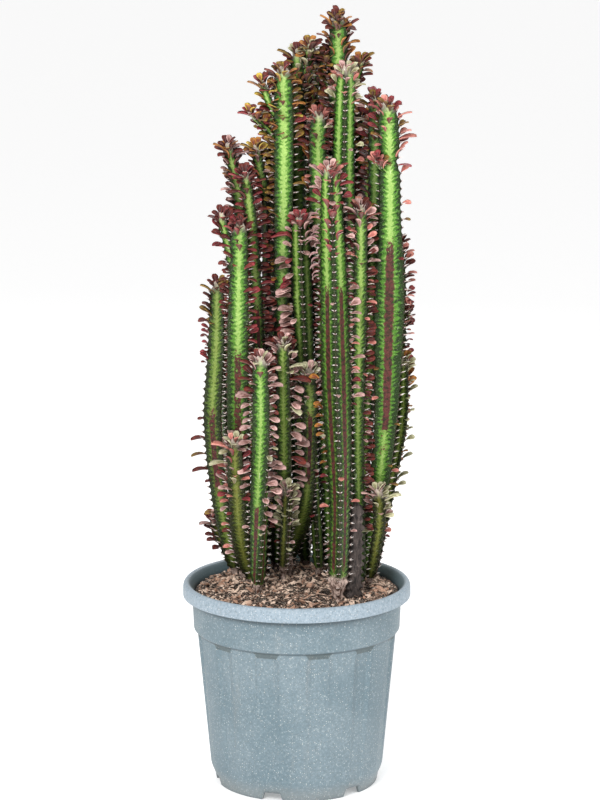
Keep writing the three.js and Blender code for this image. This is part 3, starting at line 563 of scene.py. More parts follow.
def smooth_line(places, shares):
    """Points of the centripetal curve through the places, at shares from 0 to 1 of its spans."""
    ends = (2 * places[0] - places[1], 2 * places[-1] - places[-2])
    knots = np.vstack([ends[0], places, ends[1]])
    spans = len(places) - 1
    span = np.clip(np.floor(shares * spans).astype(int), 0, spans - 1)
    t = (shares * spans - span)[:, None]
    p0, p1, p2, p3 = (knots[span + step] for step in range(4))
    d0, d1, d2 = (
        np.sqrt(np.linalg.norm(b - a, axis=1))[:, None] for a, b in ((p0, p1), (p1, p2), (p2, p3))
    )
    start = ((p1 - p0) / d0 - (p2 - p0) / (d0 + d1) + (p2 - p1) / d1) * d1
    end = ((p2 - p1) / d1 - (p3 - p1) / (d1 + d2) + (p3 - p2) / d2) * d1
    square = -3 * p1 + 3 * p2 - 2 * start - end
    cube = 2 * p1 - 2 * p2 + start + end
    return p1 + start * t + square * t**2 + cube * t**3


class StemForm:
    """A stem's centre line, thickness and rib direction, by distance along it."""

    def __init__(self, path, turn, twist=0, waists=(), rooted=True):
        path = np.array(path)
        self.heights, self.reaches = path[:, 2].copy(), path[:, 3]
        self.turn, self.twist, self.waists, self.rooted = turn, twist, waists, rooted
        self.places = path[:, :3].copy()
        if rooted:
            self.places[0, 2] = soil_height(*self.places[0, :2]) + ROOT_RISE
        self.shares = np.linspace(0, 1, 201)
        line = smooth_line(self.places, self.shares)
        steps = np.linalg.norm(np.diff(line, axis=0), axis=1)
        self.distances = np.concatenate([[0], np.cumsum(steps)])
        self.length = float(self.distances[-1])

    def centre(self, along):
        along = np.atleast_1d(along)
        shares = np.interp(np.clip(along, 0, self.length), self.distances, self.shares)
        points = smooth_line(self.places, shares)
        points[:, 2] += np.minimum(along, 0)
        return points

    def angle(self, along):
        return self.turn + self.twist * np.clip(np.atleast_1d(along) / self.length, 0, 1)

    def full_reach(self, along):
        return np.interp(self.centre(along)[:, 2], self.heights, self.reaches)

    def rest(self, along):
        """How far from its rounded end the tip still is: 1 below it, 0 at the very end."""
        left = (self.length - np.atleast_1d(along)) / (TIP_ROUNDING * self.full_reach(along))
        return np.clip(left, 0, 1)

    def reach(self, along):
        """Distance from the centre line to a rib's crest, before its teeth."""
        z = self.centre(along)[:, 2]
        foot = ROOT_SLIMNESS + (1 - ROOT_SLIMNESS) * np.clip(np.atleast_1d(along) / FLARE, 0, 1)
        tip = np.sqrt(1 - (1 - self.rest(along)) ** 2)
        waist = 1 - sum(0.28 * np.exp(-(((z - height) / 0.011) ** 2)) for height in self.waists)
        return self.full_reach(along) * foot * tip * waist

    def beside(self, along, degrees, share):
        return self.centre(along) + polar(self.reach(along) * share, degrees)

    def along_at(self, height):
        """Distance along the stem at which its centre line reaches a height."""
        steps = np.linspace(0, self.length, 2000)
        return float(np.interp(height, self.centre(steps)[:, 2], steps))

    def row_at(self, along):
        """Position along the first rib in rows of areoles, whole at each areole."""
        return (along - FLARE) / AREOLE_PITCH - FIRST_AREOLE

    def areoles(self):
        """Rib, distance along and direction of each areole, the ribs a third of a row apart."""
        found = []
        for rib in range(3):
            first = (FLARE + rib / 3 * AREOLE_PITCH) % AREOLE_PITCH
            for along in np.arange(first + AREOLE_PITCH, self.length - 0.0015, AREOLE_PITCH):
                found.append((rib, float(along), float(self.angle(along)[0] + rib * 120)))
        return found


class Plant:
    """One grown stem with its branches, its node's name and its place in the clump."""

    def __init__(self, index, grown):
        self.index, self.grown = index, grown
        self.name = f"stem_{grown['name']}"
        main = StemForm(grown["path"], grown["turn"], grown["twist"], grown["waists"])
        sides = [StemForm(side["path"], side["turn"], rooted=False) for side in grown["branches"]]
        self.forms = [main, *sides]
        self.look = grown["look"]


CLUMP = [Plant(index, grown) for index, grown in enumerate(STEMS)]


# ------------------------------------------------------------------ node trees


def colour_of(code):
    """Linear colour of a web colour code."""
    parts = [int(code[place : place + 2], 16) / 255 for place in (1, 3, 5)]
    return tuple(part / 12.92 if part <= 0.04045 else ((part + 0.055) / 1.055) ** 2.4 for part in parts)


class Wire:
    """A node's output. Arithmetic on it adds maths nodes to its tree."""

    def __init__(self, tree, socket):
        self.tree, self.socket = tree, socket

    def __add__(self, other):
        return maths(self.tree, "ADD", self, other)

    def __sub__(self, other):
        return maths(self.tree, "SUBTRACT", self, other)

    def __rsub__(self, other):
        return maths(self.tree, "SUBTRACT", other, self)

    def __mul__(self, other):
        return maths(self.tree, "MULTIPLY", self, other)

    def __truediv__(self, other):
        return maths(self.tree, "DIVIDE", self, other)

    def __rtruediv__(self, other):
        return maths(self.tree, "DIVIDE", other, self)

    def __pow__(self, other):
        return maths(self.tree, "POWER", self, other)

    __radd__ = __add__
    __rmul__ = __mul__


def fill(tree, socket, value):
    """Links a wire to an input, or sets the input's value."""
    if isinstance(value, Wire):
        tree.links.new(value.socket, socket)
    elif socket.type == "RGBA" and len(value) == 3:
        socket.default_value = (*value, 1)
    else:
        socket.default_value = value


def node(tree, kind, inputs=None, out=0, **settings):
    """Adds a node with its settings and inputs, and gives the wire of one output."""
    made = tree.nodes.new(kind)
    for name, value in settings.items():
        setattr(made, name, value)
    for key, value in (inputs or {}).items():
        fill(tree, made.inputs[key], value)
    return Wire(tree, made.outputs[out])


def maths(tree, operation, *values):
    return node(tree, "ShaderNodeMath", dict(enumerate(values)), operation=operation)


def one(operation):
    """A maths function of one wire, with any numbers after it."""
    return lambda wire, *others: maths(wire.tree, operation, wire, *others)


floor_of, size_of, sign_of = one("FLOOR"), one("ABSOLUTE"), one("SIGN")
round_of, sine, cosine, away = one("ROUND"), one("SINE"), one("COSINE"), one("PINGPONG")
least, most, exponent, is_near = one("MINIMUM"), one("MAXIMUM"), one("EXPONENT"), one("COMPARE")


def smooth(wire, low, high):
    """Goes smoothly from 0 at low to 1 at high."""
    inputs = {"Value": wire, "From Min": low, "From Max": high}
    return node(wire.tree, "ShaderNodeMapRange", inputs, interpolation_type="SMOOTHSTEP")


def fade(wire, low, high):
    """Goes smoothly from 1 at low to 0 at high."""
    inputs = {"Value": wire, "From Min": low, "From Max": high, "To Min": 1.0, "To Max": 0.0}
    return node(wire.tree, "ShaderNodeMapRange", inputs, interpolation_type="SMOOTHSTEP")


def vector(tree, x, y, z):
    return node(tree, "ShaderNodeCombineXYZ", {0: x, 1: y, 2: z})


def split(wire):
    made = node(wire.tree, "ShaderNodeSeparateXYZ", {0: wire}).socket.node
    return [Wire(wire.tree, socket) for socket in made.outputs]


def lay_out(tree):
    """Sets the nodes in columns, each left of what it feeds."""
    depth = {made.name: 0 for made in tree.nodes}
    for _ in range(len(tree.nodes)):
        moved = False
        for link in tree.links:
            wanted = depth[link.to_node.name] + 1
            if depth[link.from_node.name] < wanted:
                depth[link.from_node.name], moved = wanted, True
        if not moved:
            break
    filled = {}
    for made in tree.nodes:
        column = depth[made.name]
        made.location = (-220 * column, -180 * filled.get(column, 0))
        filled[column] = filled.get(column, 0) + 1


# ------------------------------------------------------------------ shader helpers


def new_finish(name):
    """A material with an empty node tree."""
    material = bpy.data.materials.new(name)
    material.use_nodes = True
    material.node_tree.nodes.clear()
    return material, material.node_tree


def place_of(tree):
    return node(tree, "ShaderNodeTexCoord", out="Object")


def grain(where, scale, detail=2.0, roughness=0.5, stretch=None):
    """Noise from 0 to 1. A stretch multiplies the place along each axis."""
    tree = where.tree
    if stretch:
        where = node(tree, "ShaderNodeVectorMath", {0: where, 1: stretch}, operation="MULTIPLY")
    inputs = {"Vector": where, "Scale": scale, "Detail": detail, "Roughness": roughness}
    return node(tree, "ShaderNodeTexNoise", inputs)


def flecks(where, scale):
    """Distance to the nearest of many scattered dots, and a number that is each dot's own."""
    made = node(where.tree, "ShaderNodeTexVoronoi", {"Vector": where, "Scale": scale}).socket.node
    return Wire(where.tree, made.outputs["Distance"]), Wire(where.tree, made.outputs["Color"])


def blend(share, first, second):
    inputs = {0: share, 6: first, 7: second}
    made = node(share.tree, "ShaderNodeMix", data_type="RGBA").socket.node
    for key, value in inputs.items():
        fill(share.tree, made.inputs[key], value)
    return Wire(share.tree, made.outputs[2])


def attribute(tree, name, out="Fac"):
    return node(tree, "ShaderNodeAttribute", attribute_name=name, out=out)


def relief(height, distance, strength=1.0):
    inputs = {"Height": height, "Distance": distance, "Strength": strength}
    return node(height.tree, "ShaderNodeBump", inputs, out="Normal")


def shade_in_gaps(tree, distance):
    """How much shade to paint at a place, from how closely other surfaces hem it in: 0 in the open, 1 in a
    deep gap.
    """
    return 1.0 - node(tree, "ShaderNodeAmbientOcclusion", {"Distance": distance}, out="AO", samples=6)


def finish_with(tree, colour, roughness, normal, **shine):
    """Ends a material's tree in one surface shader."""
    inputs = {"Base Color": colour, "Roughness": roughness, "Normal": normal}
    inputs |= {name.replace("_", " "): value for name, value in shine.items()}
    surface = node(tree, "ShaderNodeBsdfPrincipled", inputs)
    node_out = tree.nodes.new("ShaderNodeOutputMaterial")
    tree.links.new(surface.socket, node_out.inputs["Surface"])
    lay_out(tree)


# ------------------------------------------------------------------ geometry helpers


def new_tree(name, settings):
    """A geometry tree with named inputs. Gives the tree, its input wires and its last node."""
    tree = bpy.data.node_groups.new(name, "GeometryNodeTree")
    tree.interface.new_socket("Geometry", in_out="INPUT", socket_type="NodeSocketGeometry")
    tree.interface.new_socket("Geometry", in_out="OUTPUT", socket_type="NodeSocketGeometry")
    for label, kind, default in settings:
        socket = tree.interface.new_socket(label, in_out="INPUT", socket_type=f"NodeSocket{kind}")
        if default is not None:
            socket.default_value = default
    source = tree.nodes.new("NodeGroupInput")
    wires = {socket.name: Wire(tree, socket) for socket in source.outputs if socket.name}
    return tree, wires


def end_tree(tree, shape, finish):
    """Ends a geometry tree in plain mesh with its finish."""
    shape = node(tree, "GeometryNodeRealizeInstances", {0: shape})
    shape = node(tree, "GeometryNodeSetMaterial", {"Geometry": shape, "Material": finish})
    last = tree.nodes.new("NodeGroupOutput")
    tree.links.new(shape.socket, last.inputs[0])
    lay_out(tree)
    return tree


def named(tree, name, kind="FLOAT"):
    inputs = {"Name": name}
    return node(tree, "GeometryNodeInputNamedAttribute", inputs, data_type=kind)


def store(shape, name, value, kind="FLOAT", domain="POINT"):
    made = shape.tree.nodes.new("GeometryNodeStoreNamedAttribute")
    made.data_type, made.domain = kind, domain
    for key, filling in {"Geometry": shape, "Name": name, "Value": value}.items():
        fill(shape.tree, made.inputs[key], filling)
    return Wire(shape.tree, made.outputs[0])


def plain_mesh(piece, tree, values):
    """Runs a geometry tree on a piece once, and keeps the result as its plain mesh."""
    modifier = piece.modifiers.new(tree.name, "NODES")
    modifier.node_group = tree
    for item in tree.interface.items_tree:
        if item.in_out == "INPUT" and item.name in values:
            modifier[item.identifier] = values[item.name]
    graph = bpy.context.evaluated_depsgraph_get()
    made = bpy.data.meshes.new_from_object(
        piece.evaluated_get(graph), preserve_all_data_layers=True, depsgraph=graph
    )
    piece.modifiers.remove(modifier)
    old = piece.data
    piece.data = made
    made.name = piece.name
    bpy.data.meshes.remove(old)
    return piece


def new_piece(name, points, faces=(), edges=()):
    mesh = bpy.data.meshes.new(name)
    mesh.from_pydata([tuple(point) for point in points], list(edges), [tuple(f) for f in faces])
    mesh.update()
    piece = bpy.data.objects.new(name, mesh)
    bpy.context.scene.collection.objects.link(piece)
    return piece


def give(piece, name, values, kind="FLOAT"):
    """Stores one value for each point of a piece."""
    stored = piece.data.attributes.new(name, kind, "POINT")
    key = "value" if kind == "FLOAT" else "vector"
    stored.data.foreach_set(key, np.asarray(values, dtype=np.float32).ravel())


def dress(piece, slot, *nodes):
    """Sets a finished piece on the part, in the place of its nodes."""
    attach(piece, "root")
    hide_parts(*nodes)


def discard(*pieces):
    for piece in pieces:
        mesh = piece.data
        bpy.data.objects.remove(piece)
        bpy.data.meshes.remove(mesh)


def shapes_on_points(points, shapes, turned, grown):
    """Sets each shape on the points whose kind is its number."""
    tree = points.tree
    joined = tree.nodes.new("GeometryNodeJoinGeometry")
    turned = node(tree, "FunctionNodeEulerToRotation", {0: turned})
    for kind, shape in enumerate(shapes):
        body = node(tree, "GeometryNodeObjectInfo", {"Object": shape}, out="Geometry")
        mine = is_near(named(tree, "kind"), float(kind), 0.1)
        inputs = {"Points": points, "Selection": mine, "Instance": body, "Rotation": turned, "Scale": grown}
        set_there = node(tree, "GeometryNodeInstanceOnPoints", inputs)
        tree.links.new(set_there.socket, joined.inputs[0])
    return Wire(tree, joined.outputs[0])


def by_chance(seed, low, high, salt, whole=False):
    """A number drawn for each point, the same for the same seed and salt."""
    kind, number = ("INT", 2) if whole else ("FLOAT", 1)
    made = node(seed.tree, "FunctionNodeRandomValue", data_type=kind).socket.node
    values = {"Min": low, "Max": high, "Seed": seed + float(salt)}
    for socket in made.inputs:
        if socket.enabled and socket.name in values:
            fill(seed.tree, socket, values[socket.name])
    return Wire(seed.tree, made.outputs[number])


def sheet_of_rings(path, around):
    """A grid with one ring for each of a path's points: also each point's place round, and a sampler."""
    tree = path.tree
    count = node(tree, "GeometryNodeAttributeDomainSize", {0: path}, component="MESH")
    columns = around + 1.0
    grid = node(tree, "GeometryNodeMeshGrid", {"Vertices X": count, "Vertices Y": columns})
    index = node(tree, "GeometryNodeInputIndex")
    ring = floor_of((index + 0.5) / columns)

    def at_ring(source, kind="FLOAT"):
        inputs = {"Geometry": path, "Value": source, "Index": ring}
        return node(tree, "GeometryNodeSampleIndex", inputs, data_type=kind)

    return grid, index - ring * columns, at_ring


def sealed(shape):
    """Turns a sheet of rings outward and joins its seam and ends."""
    shape = node(shape.tree, "GeometryNodeFlipFaces", {0: shape})
    return node(shape.tree, "GeometryNodeMergeByDistance", {"Geometry": shape, "Distance": 1e-6})


def smooth_shaded(shape):
    return node(shape.tree, "GeometryNodeSetShadeSmooth", {"Geometry": shape})


# ------------------------------------------------------------------ finishes


def skin_finish(sizes):
    """Green skin: a pale feathered band up each trough, dark toward the edges, purple where striped."""
    material, tree = new_finish("euphorbia_skin")
    place = place_of(tree)
    x, y, z = split(place)
    # old: the skin is made darker and duller towards the bottom of the stems, set by height alone.
    old = fade(z, 0.40, 0.95)
    across, rows, _ = split(node(tree, "ShaderNodeAttribute", attribute_name="ribs", out="Vector"))
    young, cork, olive = split(node(tree, "ShaderNodeAttribute", attribute_name="state", out="Vector"))
    striped = attribute(tree, "stripe")
    wander = grain(place, 70, 3)
    blotch = grain(place, 170, 3, 0.6)
    fine = grain(place, 420, 3, 0.6)
    speck = grain(place, 1200, 1)

    barb_line = rows * 1.6 + 0.7 * across + (wander - 0.5) * 2.4
    barb = away(barb_line, 0.5) * 2.0
    streaks = grain(vector(tree, across * 2.2, barb_line * 2.1, x * 60.0 + y * 45.0), 1.0, 3, 0.65)
    reach_in = across + (barb - 0.5) * 0.30 * fade(across, 0.75, 1.0)
    reach_in = reach_in + (streaks - 0.5) * 0.85 + (fine - 0.5) * 0.45 - old * 0.16
    band = smooth(reach_in, 0.50, 0.80)
    light = smooth(reach_in + (blotch - 0.5) * 0.6, 0.16, 0.48)

    colour = blend(light, sizes.dark_green, sizes.green)
    patchy = 0.72 + 0.9 * (fine - 0.5) + 0.6 * (blotch - 0.5) - old * 0.25
    colour = blend(most(band * patchy, 0.0), colour, sizes.pale_green)
    shadow = fade(across + (blotch - 0.5) * 0.5 - (barb - 0.5) * 0.14, 0.02, 0.26)
    colour = blend(shadow * 0.7, colour, sizes.dark_green)
    dull = blend(light * 0.45 + band * 0.45, sizes.dark_olive, sizes.olive)
    colour = blend(least(olive + old * 0.22, 1.0) * (0.60 + 0.5 * wander), colour, dull)
    sides = smooth(across + (streaks - 0.5) * 0.5 + (fine - 0.5) * 0.3, 0.56, 0.70)
    mottled = striped + (blotch - 0.5) * 1.6 + (fine - 0.5) * 1.2
    purple = sides * smooth(mottled, 0.38, 0.62) * smooth(striped, 0.0, 0.1)
    wine = blend(smooth(streaks * 0.5 + blotch * 0.5, 0.40, 0.58), sizes.dark_stripe, sizes.stripe)
    colour = blend(purple * (0.96 + 0.2 * (speck - 0.5)), colour, wine)

    near_row = away(rows, 0.5)
    horn = fade(across, 0.0, 0.06) * (0.12 + 0.5 * fade(near_row, 0.06, 0.30))
    colour = blend(horn, colour, colour_of("#5f3d33"))
    spots = fade(across, 0.03, 0.15) * fade(near_row, 0.07, 0.18)
    colour = blend(spots, colour, colour_of("#221612"))
    scars = smooth(speck, 0.64, 0.72) * smooth(fine, 0.42, 0.58)
    scratches = grain(place, 240, 2, 0.5, stretch=(1.0, 1.0, 0.10))
    scars = most(scars, smooth(scratches, 0.70, 0.73) * smooth(blotch, 0.5, 0.6))
    colour = blend(scars * 0.45 * (1.0 - purple * 0.7), colour, colour_of("#e2e6c8"))
    colour = blend(young * (0.65 + 0.4 * fine), colour, sizes.young)
    corky = smooth(cork + (fine - 0.5) * 0.5 + (wander - 0.5) * 0.5, 0.42, 0.6)
    bark = blend(smooth(grain(place, 130, 5, 0.7), 0.36, 0.62), colour_of("#4a2c1f"), colour_of("#e0c6b9"))
    colour = blend(corky, colour, bark)
    # Painted shade: the skin turns near-black where other stems and leaves close it in.
    gap = smooth(shade_in_gaps(tree, 0.09), 0.50, 0.92)
    colour = blend(gap * 0.88, colour, colour_of("#090e04"))

    roughness = 0.38 + 0.22 * fine + 0.25 * corky
    height = light * 0.2 + band * 0.3 + fine * 0.35 + speck * 0.15 + corky * fine * 0.8
    finish_with(tree, colour, roughness, relief(height, 0.0013, 0.8), Specular_IOR_Level=0.22)
    return material


def leaf_finish():
    """Thick leaves: each with its own colours, a thin red margin, a midrib and faint veins."""
    material, tree = new_finish("euphorbia_leaf")
    place = place_of(tree)
    share, edge, under = (attribute(tree, name) for name in ("reach", "edge", "under"))
    root_tint = node(tree, "ShaderNodeAttribute", attribute_name="root_tint", out="Color")
    tip_tint = node(tree, "ShaderNodeAttribute", attribute_name="tip_tint", out="Color")
    blotch = grain(place, 260, 3)
    fine = grain(place, 900, 2)
    side = size_of(edge)
    rim = most(side * 0.95, share * 0.8)
    colour = blend(smooth(rim + (blotch - 0.5) * 0.7 - under * 0.1, 0.30, 0.90), root_tint, tip_tint)
    veins = fade(away(share * 9.0 - side * 2.2, 0.5), 0.0, 0.16) * (1.0 - side)
    rib = fade(side, 0.03, 0.14)
    colour = blend((veins * 0.14 + rib * 0.22) * fade(share, 0.6, 0.95), colour, colour_of("#d8a29c"))
    colour = blend(smooth(side + (fine - 0.5) * 0.2, 0.88, 1.0) * 0.35, colour, colour_of("#9c3f49"))
    colour = blend(under * 0.2 + smooth(fine, 0.6, 0.75) * 0.2, colour, colour_of("#b59a8c"))
    # Painted shade: leaves darken towards near-black where other surfaces close them in.
    gap = smooth(shade_in_gaps(tree, 0.02), 0.42, 0.92)
    colour = blend(gap * 0.75, colour, colour_of("#160a0a"))
    height = fine * 0.3 + veins * 0.3 - rib * 0.5
    finish_with(tree, colour, 0.36 + 0.25 * blotch, relief(height, 0.0005, 0.6), Specular_IOR_Level=0.3)
    return material


def spine_finish():
    """Dark brown pads and spines that pale to a pinkish tip."""
    material, tree = new_finish("euphorbia_spine")
    share = attribute(tree, "reach")
    fine = grain(place_of(tree), 900, 2)
    colour = blend(smooth(share, 0.10, 0.32), colour_of("#1e1310"), colour_of("#a5857a"))
    colour = blend(smooth(share + (fine - 0.5) * 0.3, 0.25, 0.55), colour, colour_of("#f6eee9"))
    finish_with(tree, colour, 0.45 + 0.25 * fine, relief(fine, 0.0003, 0.5))
    return material


def bark_finish(sizes):
    """Shredded bark and coir: each chip has its own brown, with fibre lines along it."""
    material, tree = new_finish("euphorbia_bark")
    place = place_of(tree)
    tint = attribute(tree, "tint")
    fibre = grain(place, 260, 4, 0.65, stretch=(1.0, 2.5, 4.0))
    fine = grain(place, 900, 3, 0.6)
    colour = blend(smooth(tint, 0.12, 0.42), sizes.dark, sizes.middle)
    colour = blend(smooth(tint, 0.40, 0.68), colour, sizes.light)
    colour = blend(fade(fibre, 0.34, 0.50) * 0.85, colour, sizes.dark)
    colour = blend(smooth(fine, 0.52, 0.66) * 0.6, colour, colour_of("#f2e2d0"))
    # Painted shade: chips darken towards near-black in the gaps between them.
    gap = smooth(shade_in_gaps(tree, 0.008), 0.22, 0.75)
    colour = blend(gap * 0.9, colour, colour_of("#100804"))
    height = fibre * 0.7 + fine * 0.4
    finish_with(tree, colour, 0.78 + 0.2 * fine, relief(height, 0.0015, 0.9))
    return material


def pot_finish(sizes):
    """Blue-grey moulded plastic, flecked pale and dark, with dust streaks and dust at its foot, a lip band
    painted lighter as if lit, and painted shade inside, under the lip and collar, in the flute creases and in
    gaps.
    """
    material, tree = new_finish("euphorbia_pot")
    place = place_of(tree)
    x, y, z = split(place)
    radius = (x * x + y * y) ** 0.5
    cloud = grain(place, 9, 3, 0.6)
    streak = grain(place, 26, 3, 0.6, stretch=(1.0, 1.0, 0.12))
    mottle = grain(place, 260, 3, 0.75)
    colour = blend(smooth(cloud, 0.35, 0.68), sizes.shade, sizes.body)
    lip_foot = sizes.height - LIP_DEPTH
    # Painted light: the lip band is painted lighter, as if lit.
    rim = smooth(z, lip_foot - 0.001, lip_foot + 0.002) * smooth(radius, 0.160, 0.168)
    colour = blend(rim * 0.85, colour, sizes.rim)
    colour = blend(fade(mottle, 0.36, 0.52) * 0.40, colour, sizes.deep)
    colour = blend(smooth(mottle, 0.56, 0.68) * 0.25, colour, colour_of("#d5dbdc"))
    for scale, reach, tone, amount in (
        (330, 0.24, "#f1efe9", 0.65), (520, 0.28, "#dccdbb", 0.45), (410, 0.24, "#56666e", 0.45),
    ):
        distance, own = flecks(place, scale)
        keep = smooth(split(own)[0], 0.62, 0.68)
        colour = blend(fade(distance, reach * 0.6, reach) * keep * amount, colour, colour_of(tone))
    out_x, out_y, _ = split(node(tree, "ShaderNodeTexCoord", out="Normal"))
    outward_here = (x * out_x + y * out_y) / most(radius, 0.001)
    # Painted shade: the inner wall is painted darker, as the inside of the pot lies in shade.
    inside = fade(outward_here, -0.35, -0.05) * smooth(z, 0.021, 0.03) * fade(radius, 0.1640, 0.1665)
    colour = blend(inside * 0.75, colour, sizes.inside)
    angle = maths(tree, "ARCTAN2", y, x) - FIRST_FLUTE
    off = away(angle / FLUTE_STEP, 0.5) * FLUTE_STEP
    outer = 1.0 - inside
    # Painted shade: dark bands just under the lip and under the collar's ledge, thin dark lines along the
    # flute creases, and dark arches at each flute's top under the collar, where shadow falls.
    shade_under_lip = smooth(z, lip_foot - 0.011, lip_foot - 0.0015) * fade(radius, 0.1645, 0.1660) * outer
    shade_under_collar = smooth(z, COLLAR_FOOT - 0.0015, COLLAR_FOOT) * fade(z, COLLAR_FOOT + 0.0025, 0.2430) * outer
    arch = fade(off - (z - ARCH_SHADOW_FOOT) * 4.0, 0.092, 0.104) * smooth(z, ARCH_SHADOW_FOOT - 0.001, 0.2312) * outer
    arch = arch * fade(z, COLLAR_FOOT + 0.001, COLLAR_FOOT + 0.0025)
    flute_crease_shade = fade(size_of(off - 0.118), 0.0, 0.02) * smooth(z, 0.08, 0.21) * fade(z, 0.229, 0.231) * outer
    painted_recess_shade = most(most(shade_under_lip * 0.75, shade_under_collar * 0.45), flute_crease_shade * 0.16)
    colour = blend(least(painted_recess_shade * (0.75 + 0.5 * mottle), 1.0), colour, colour_of("#2f3c44"))
    colour = blend(arch * 0.62, colour, colour_of("#3d4642"))
    foot = fade(z + (cloud - 0.5) * 0.03, 0.004, 0.034)
    dust = least(smooth(streak, 0.60, 0.76) * 0.18 + foot * 0.30, 1.0)
    colour = blend(dust * 0.6, colour, sizes.dust)
    # Painted shade: the plastic darkens where other surfaces close it in.
    gap = smooth(shade_in_gaps(tree, 0.02), 0.35, 0.95)
    colour = blend(gap * 0.6, colour, colour_of("#2a363d"))
    roughness = 0.42 + 0.2 * mottle + 0.2 * dust
    height = mottle * 0.5 + cloud * 0.2
    finish_with(tree, colour, roughness, relief(height, 0.0005, 0.35))
    return material


def cork_finish():
    """Dead, shrunken stem: dark grey cork with pale flaking patches."""
    material, tree = new_finish("euphorbia_dead_cork")
    place = place_of(tree)
    coarse = grain(place, 60, 4, 0.65)
    folds = grain(place, 190, 4, 0.65, stretch=(1.0, 1.0, 0.35))
    fine = grain(place, 800, 3, 0.6)
    colour = blend(smooth(folds, 0.35, 0.6), colour_of("#1d1817"), colour_of("#4b413d"))
    colour = blend(smooth(coarse + (fine - 0.5) * 0.3, 0.56, 0.68) * 0.6, colour, colour_of("#7d706a"))
    colour = blend(smooth(fine, 0.62, 0.76) * 0.5, colour, colour_of("#b7aaa2"))
    height = folds * 0.8 + fine * 0.3
    finish_with(tree, colour, 0.80 + 0.15 * fine, relief(height, 0.002, 0.9))
    return material


def floor_finish(sizes):
    """Plain pale studio floor."""
    material, tree = new_finish("studio_floor")
    cloth = grain(place_of(tree), 3, 2)
    colour = blend(cloth * 0.1, sizes.floor, [part * 0.97 for part in sizes.floor])
    glow = {"Emission_Color": sizes.floor, "Emission_Strength": sizes.floor_glow}
    finish_with(tree, colour, 0.8 + 0.1 * cloth, relief(cloth, 0.0005, 0.1), **glow)
    return material


# ------------------------------------------------------------------ geometry trees


def stem_tree():
    """Wraps a three-ribbed, toothed skin round each run of stations."""
    tree, ins = new_tree("Ribbed stem", [
        ("Points per Rib", "Int", 14), ("Trough", "Float", 0.46), ("Edge Width", "Float", 0.0013),
        ("Tooth Height", "Float", 0.0026), ("Unevenness", "Float", 0.0012), ("Finish", "Material", None),
    ])
    grid, place, at_ring = sheet_of_rings(ins["Geometry"], ins["Points per Rib"] * 3.0)
    place = place / ins["Points per Rib"]

    def on_points(value, kind="FLOAT"):
        return node(tree, "GeometryNodeFieldOnDomain", {0: value}, data_type=kind, domain="POINT")

    centre = at_ring(node(tree, "GeometryNodeInputPosition"), "FLOAT_VECTOR")
    reach, heading, row_here, lift, part = (
        at_ring(named(tree, name)) for name in ("reach", "heading", "row", "lift", "part")
    )
    rib = round_of(place)
    side = size_of(place - rib) * 2.0
    share = side**1.5
    rest = 1.0 - share
    tooth = (0.5 + 0.5 * cosine((row_here - rib / 3.0) * math.tau)) ** 2.0
    small = least(reach / 0.010, 1.0)
    crest = reach - ins["Tooth Height"] * (1.0 - tooth) * small
    trough = ins["Trough"]
    bend_x = (trough * 0.5 + 0.26) * reach
    bend_y = (trough * 0.866 - 0.15) * reach
    out_x = rest * rest * crest + 2.0 * share * rest * bend_x + share * share * trough * 0.5 * reach
    out_y = 2.0 * share * rest * bend_y + share * share * trough * 0.866 * reach
    edge = ins["Edge Width"] * small * (1.0 + 0.6 * tooth)
    out_y = out_y + edge * (1.0 - exponent(share * reach / -0.001)) * rest * smooth(share, 0.0, 0.01)
    turned = heading + rib * (math.tau / 3)
    east, north = cosine(turned), sine(turned)
    out_y = out_y * sign_of(place - rib)
    x, y, z = split(centre)
    drift = grain(vector(tree, x + rib * 3.1, y, z), 45, 2)
    out_x = out_x + (drift - 0.5) * ins["Unevenness"] * small
    new_place = vector(
        tree, x + east * out_x - north * out_y, y + north * out_x + east * out_y, z + lift * rest * rest
    )
    shape = node(tree, "GeometryNodeSetPosition", {"Geometry": grid, "Position": new_place})
    pattern = vector(tree, on_points(share), on_points(row_here - place / 3.0), 0.0)
    shape = store(shape, "ribs", pattern, "FLOAT2", "CORNER")
    states = at_ring(named(tree, "state", "FLOAT_VECTOR"), "FLOAT_VECTOR")
    shape = store(shape, "state", states, "FLOAT_VECTOR")
    strengths = split(at_ring(named(tree, "stripes", "FLOAT_VECTOR"), "FLOAT_VECTOR"))
    trough_number = floor_of(place - 0.001)
    first, second, third = (
        strength * is_near(trough_number, float(number), 0.1) for number, strength in enumerate(strengths)
    )
    shape = store(shape, "stripe", first + second + third)
    between = on_points(part)
    between = between - floor_of(between)
    gaps = {"Geometry": shape, "Selection": most(between - 0.001, 0.0)}
    shape = sealed(node(tree, "GeometryNodeDeleteGeometry", gaps, domain="FACE"))
    return end_tree(tree, smooth_shaded(shape), ins["Finish"])


def leaf_tree():
    """Sets one of three leaves on each point, turned, sized and tinted as the point says."""
    tree, ins = new_tree("Leaves on points", [
        ("Broad Leaf", "Object", None), ("Narrow Leaf", "Object", None), ("Hooked Leaf", "Object", None),
        ("Size", "Float", 1.0), ("Finish", "Material", None),
    ])
    grown = named(tree, "grown", "FLOAT_VECTOR")
    grown = node(tree, "ShaderNodeVectorMath", {0: grown, "Scale": ins["Size"]}, operation="SCALE")
    shapes = [ins["Broad Leaf"], ins["Narrow Leaf"], ins["Hooked Leaf"]]
    shape = shapes_on_points(ins["Geometry"], shapes, named(tree, "tilt", "FLOAT_VECTOR"), grown)
    return end_tree(tree, smooth_shaded(shape), ins["Finish"])


